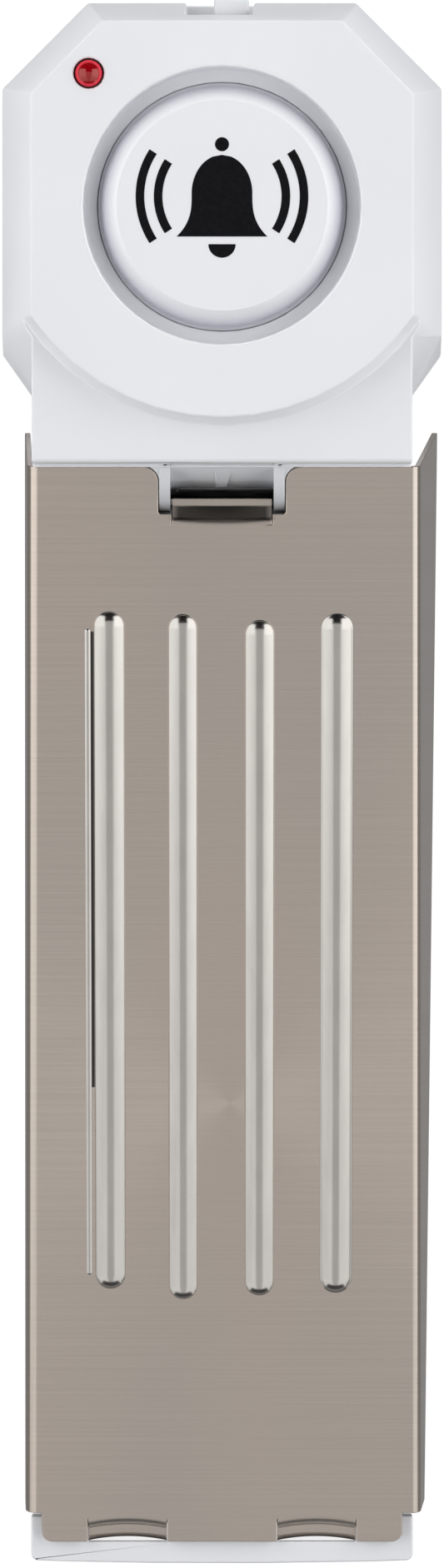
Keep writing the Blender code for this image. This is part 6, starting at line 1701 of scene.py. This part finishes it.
@dataclass
class Studio:
    """Pale floor, two soft boxes at the sides, cards that only gloss sees, and the camera straight above."""

    camera_place: Point = (0.0, 0.55 * MM, 1.0)
    lens: float = 223.5
    sensor: float = 36.0
    floor_half: float = 3.0
    floor_drop: float = 0.02 * MM
    floor_glow: float = 1.2
    floor_shares: Pair = (0.0, 0.7)
    floor_greys: Pair = (0.28, 0.93)
    ambient: float = 0.08
    lamp_size: Pair = (0.95, 0.5)
    lamp_power: float = 3.7
    lamp_place: Point = (0.46, 0.06, 0.29)
    lamp_aim: Point = (0.0, 0.03, 0.0)
    fill_powers: Pair = (1.1, 0.42)
    fill_size: Pair = (0.8, 0.2)
    fill_places: tuple[Point, Point] = ((0.0, 0.5, 0.12), (0.0, -0.5, 0.3))
    card_place: Point = (0.42, 0.05, 0.35)
    card_size: Pair = (0.7, 0.56)
    card_greys: Pair = (1.42, 1.65)
    strip_greys: Pair = (0.45, 0.18)
    card_fade: Point = (-0.32, -0.1, 0.5)
    over_size: tuple[float, Pair, float] = (0.27, (-1.6, 0.16), 0.8)
    end_size: Point = (1.1, 0.45, 2.2)
    strip_size: Pair = (0.95, 0.16)
    front_gap: float = 0.02
    table_drop: float = 0.01 * MM

    def white_world(self) -> None:
        """World that is white to the camera and to gloss, and dimmer where it lights the object."""
        world = bpy.data.worlds.new("plain_world")
        world.use_nodes = True
        bpy.context.scene.world = world
        nodes = Nodes(world.node_tree)
        level = nodes.between(nodes.seen(), self.ambient, 1.0)
        nodes.feed(world.node_tree.nodes["Background"], {"Color": (*WHITE, 1.0), "Strength": level})

    def floor(self) -> None:
        """Pale floor that looks white where nothing shades it and keeps the object's shadow."""
        span = (-self.floor_half, self.floor_half)
        made = object_from("floor", rectangle(Axis.Z, -self.floor_drop, span, span), [[0, 1, 2, 3]])
        sheet = NodeSheet("pale_floor")
        seen = sheet.seen()
        greys = [(share, (grey, grey, grey)) for share, grey in zip((0.0, 1.0), self.floor_greys)]
        sheet.fix(Base_Color=sheet.ramp(seen, greys), Roughness=0.9, Specular_IOR_Level=0.0)
        share = sheet.between(seen, *self.floor_shares)
        inputs = {"Fac": share, 1: sheet.shader.outputs["BSDF"], 2: sheet.glow(self.floor_glow)}
        dressed(made, sheet.finish(sheet.add("MixShader", inputs).outputs["Shader"]))

    def card(self, name: str, corners: np.ndarray, grey: float, faded: bool = False) -> None:
        """Card that only glossy surfaces see.

        Args:
            name: name of the card.
            corners: its four corners.
            grey: brightness that it shows.
            faded: whether it is darker towards the front.
        """
        made = object_from(name, corners, [[0, 1, 2, 3]])
        sheet = NodeSheet(f"{name}_surface")
        level = grey
        if faded:
            front, rear, share = self.card_fade
            level = sheet.between(sheet.parts(sheet.place)["Y"], grey * share, grey, (front, rear))
        for kind in ("camera", "diffuse", "shadow", "transmission", "volume_scatter"):
            setattr(made, f"visible_{kind}", False)
        dressed(made, sheet.finish(sheet.glow(level)))

    def cards(self) -> None:
        """What metal sees: a grey ceiling, dark ends, bright sides and darker strips low down."""
        half, (front, rear), z = self.over_size
        wide, end_y, high = self.end_size
        x, foot = self.strip_size
        span = (-wide, wide)
        self.card("overhead_card", rectangle(Axis.Z, z, (-half, half), (front, rear)), 0.6)
        self.card("end_card", rectangle(Axis.Y, end_y, span, (0.0, high)), 0.012)
        self.card("front_card", rectangle(Axis.Y, front - self.front_gap, span, (0.0, z)), 0.06)
        self.card("table_card", rectangle(Axis.Z, -self.table_drop, span, span), 0.28)
        for side, word, grey, low_grey in zip((-1, 1), ("left", "right"), self.card_greys, self.strip_greys):
            strip = rectangle(Axis.X, side * x, (-wide, end_y), (0.0, foot))
            self.card(f"side_strip_{word}", strip, low_grey)
            self.card(f"side_card_{word}", self.box_corners(side), grey, faded=True)

    def box_corners(self, side: int) -> np.ndarray:
        """Corners of a soft box: its width lies along y, and its height leans towards the object.

        Args:
            side: -1 for the left box and 1 for the right one.

        Returns:
            The four corners in order, one row each.
        """
        place = Vector((side * self.card_place[0], self.card_place[1], self.card_place[2]))
        along = Vector((0.0, self.card_size[0] / 2, 0.0))
        up = Vector((place.x, 0.0, place.z)).cross(along).normalized() * self.card_size[1] / 2
        return np.array([place + i * along + j * up for i, j in ((-1, -1), (1, -1), (1, 1), (-1, 1))])

    def lamp(self, name: str, place: Point, size: Pair, power: float) -> None:
        """Soft rectangular lamp that faces the object and is seen by no gloss.

        Args:
            name: name of the lamp.
            place: its centre.
            size: its width and height.
            power: its power in watts.
        """
        light = bpy.data.lights.new(name, "AREA")
        light.shape = "RECTANGLE"
        light.size, light.size_y = size
        light.energy = power
        made = bpy.data.objects.new(name, light)
        made.location = place
        made.rotation_euler = (Vector(self.lamp_aim) - made.location).to_track_quat("-Z", "Y").to_euler()
        made.visible_glossy = False
        bpy.context.scene.collection.objects.link(made)

    def lamps(self) -> None:
        """A large soft box on each side, and weak ones past the head and the nose."""
        x, y, z = self.lamp_place
        self.lamp("soft_box_left", (-x, y, z), self.lamp_size, self.lamp_power)
        self.lamp("soft_box_right", (x, y, z), self.lamp_size, self.lamp_power)
        for name, place, power in zip(("rear_fill", "front_fill"), self.fill_places, self.fill_powers):
            self.lamp(name, place, self.fill_size, power)

    def camera(self) -> None:
        """Long lens straight above, with the head at the top of the picture."""
        data = bpy.data.cameras.new("top_camera")
        data.sensor_width = self.sensor
        data.lens = self.lens
        data.clip_start = 0.01
        made = bpy.data.objects.new("top_camera", data)
        made.location = self.camera_place
        bpy.context.scene.collection.objects.link(made)
        bpy.context.scene.camera = made

    def build(self) -> None:
        """Sets up the whole studio."""
        bpy.context.scene.view_settings.view_transform = "Standard"
        self.white_world()
        self.floor()
        self.cards()
        self.lamps()
        self.camera()


def main() -> None:
    """Builds the studio and dresses every part of the alarm."""
    logging.basicConfig(level=logging.INFO, format="%(name)s: %(message)s")
    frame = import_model()
    Studio().build()
    palette = Palette()
    shop = Workshop(frame["nodes"])
    for part in (SirenHead(), RampPlate(), Underside(), Electronics()):
        part.build(shop, palette)
        LOG.info("%s is dressed", type(part).__name__)


if __name__ == "__main__":
    main()
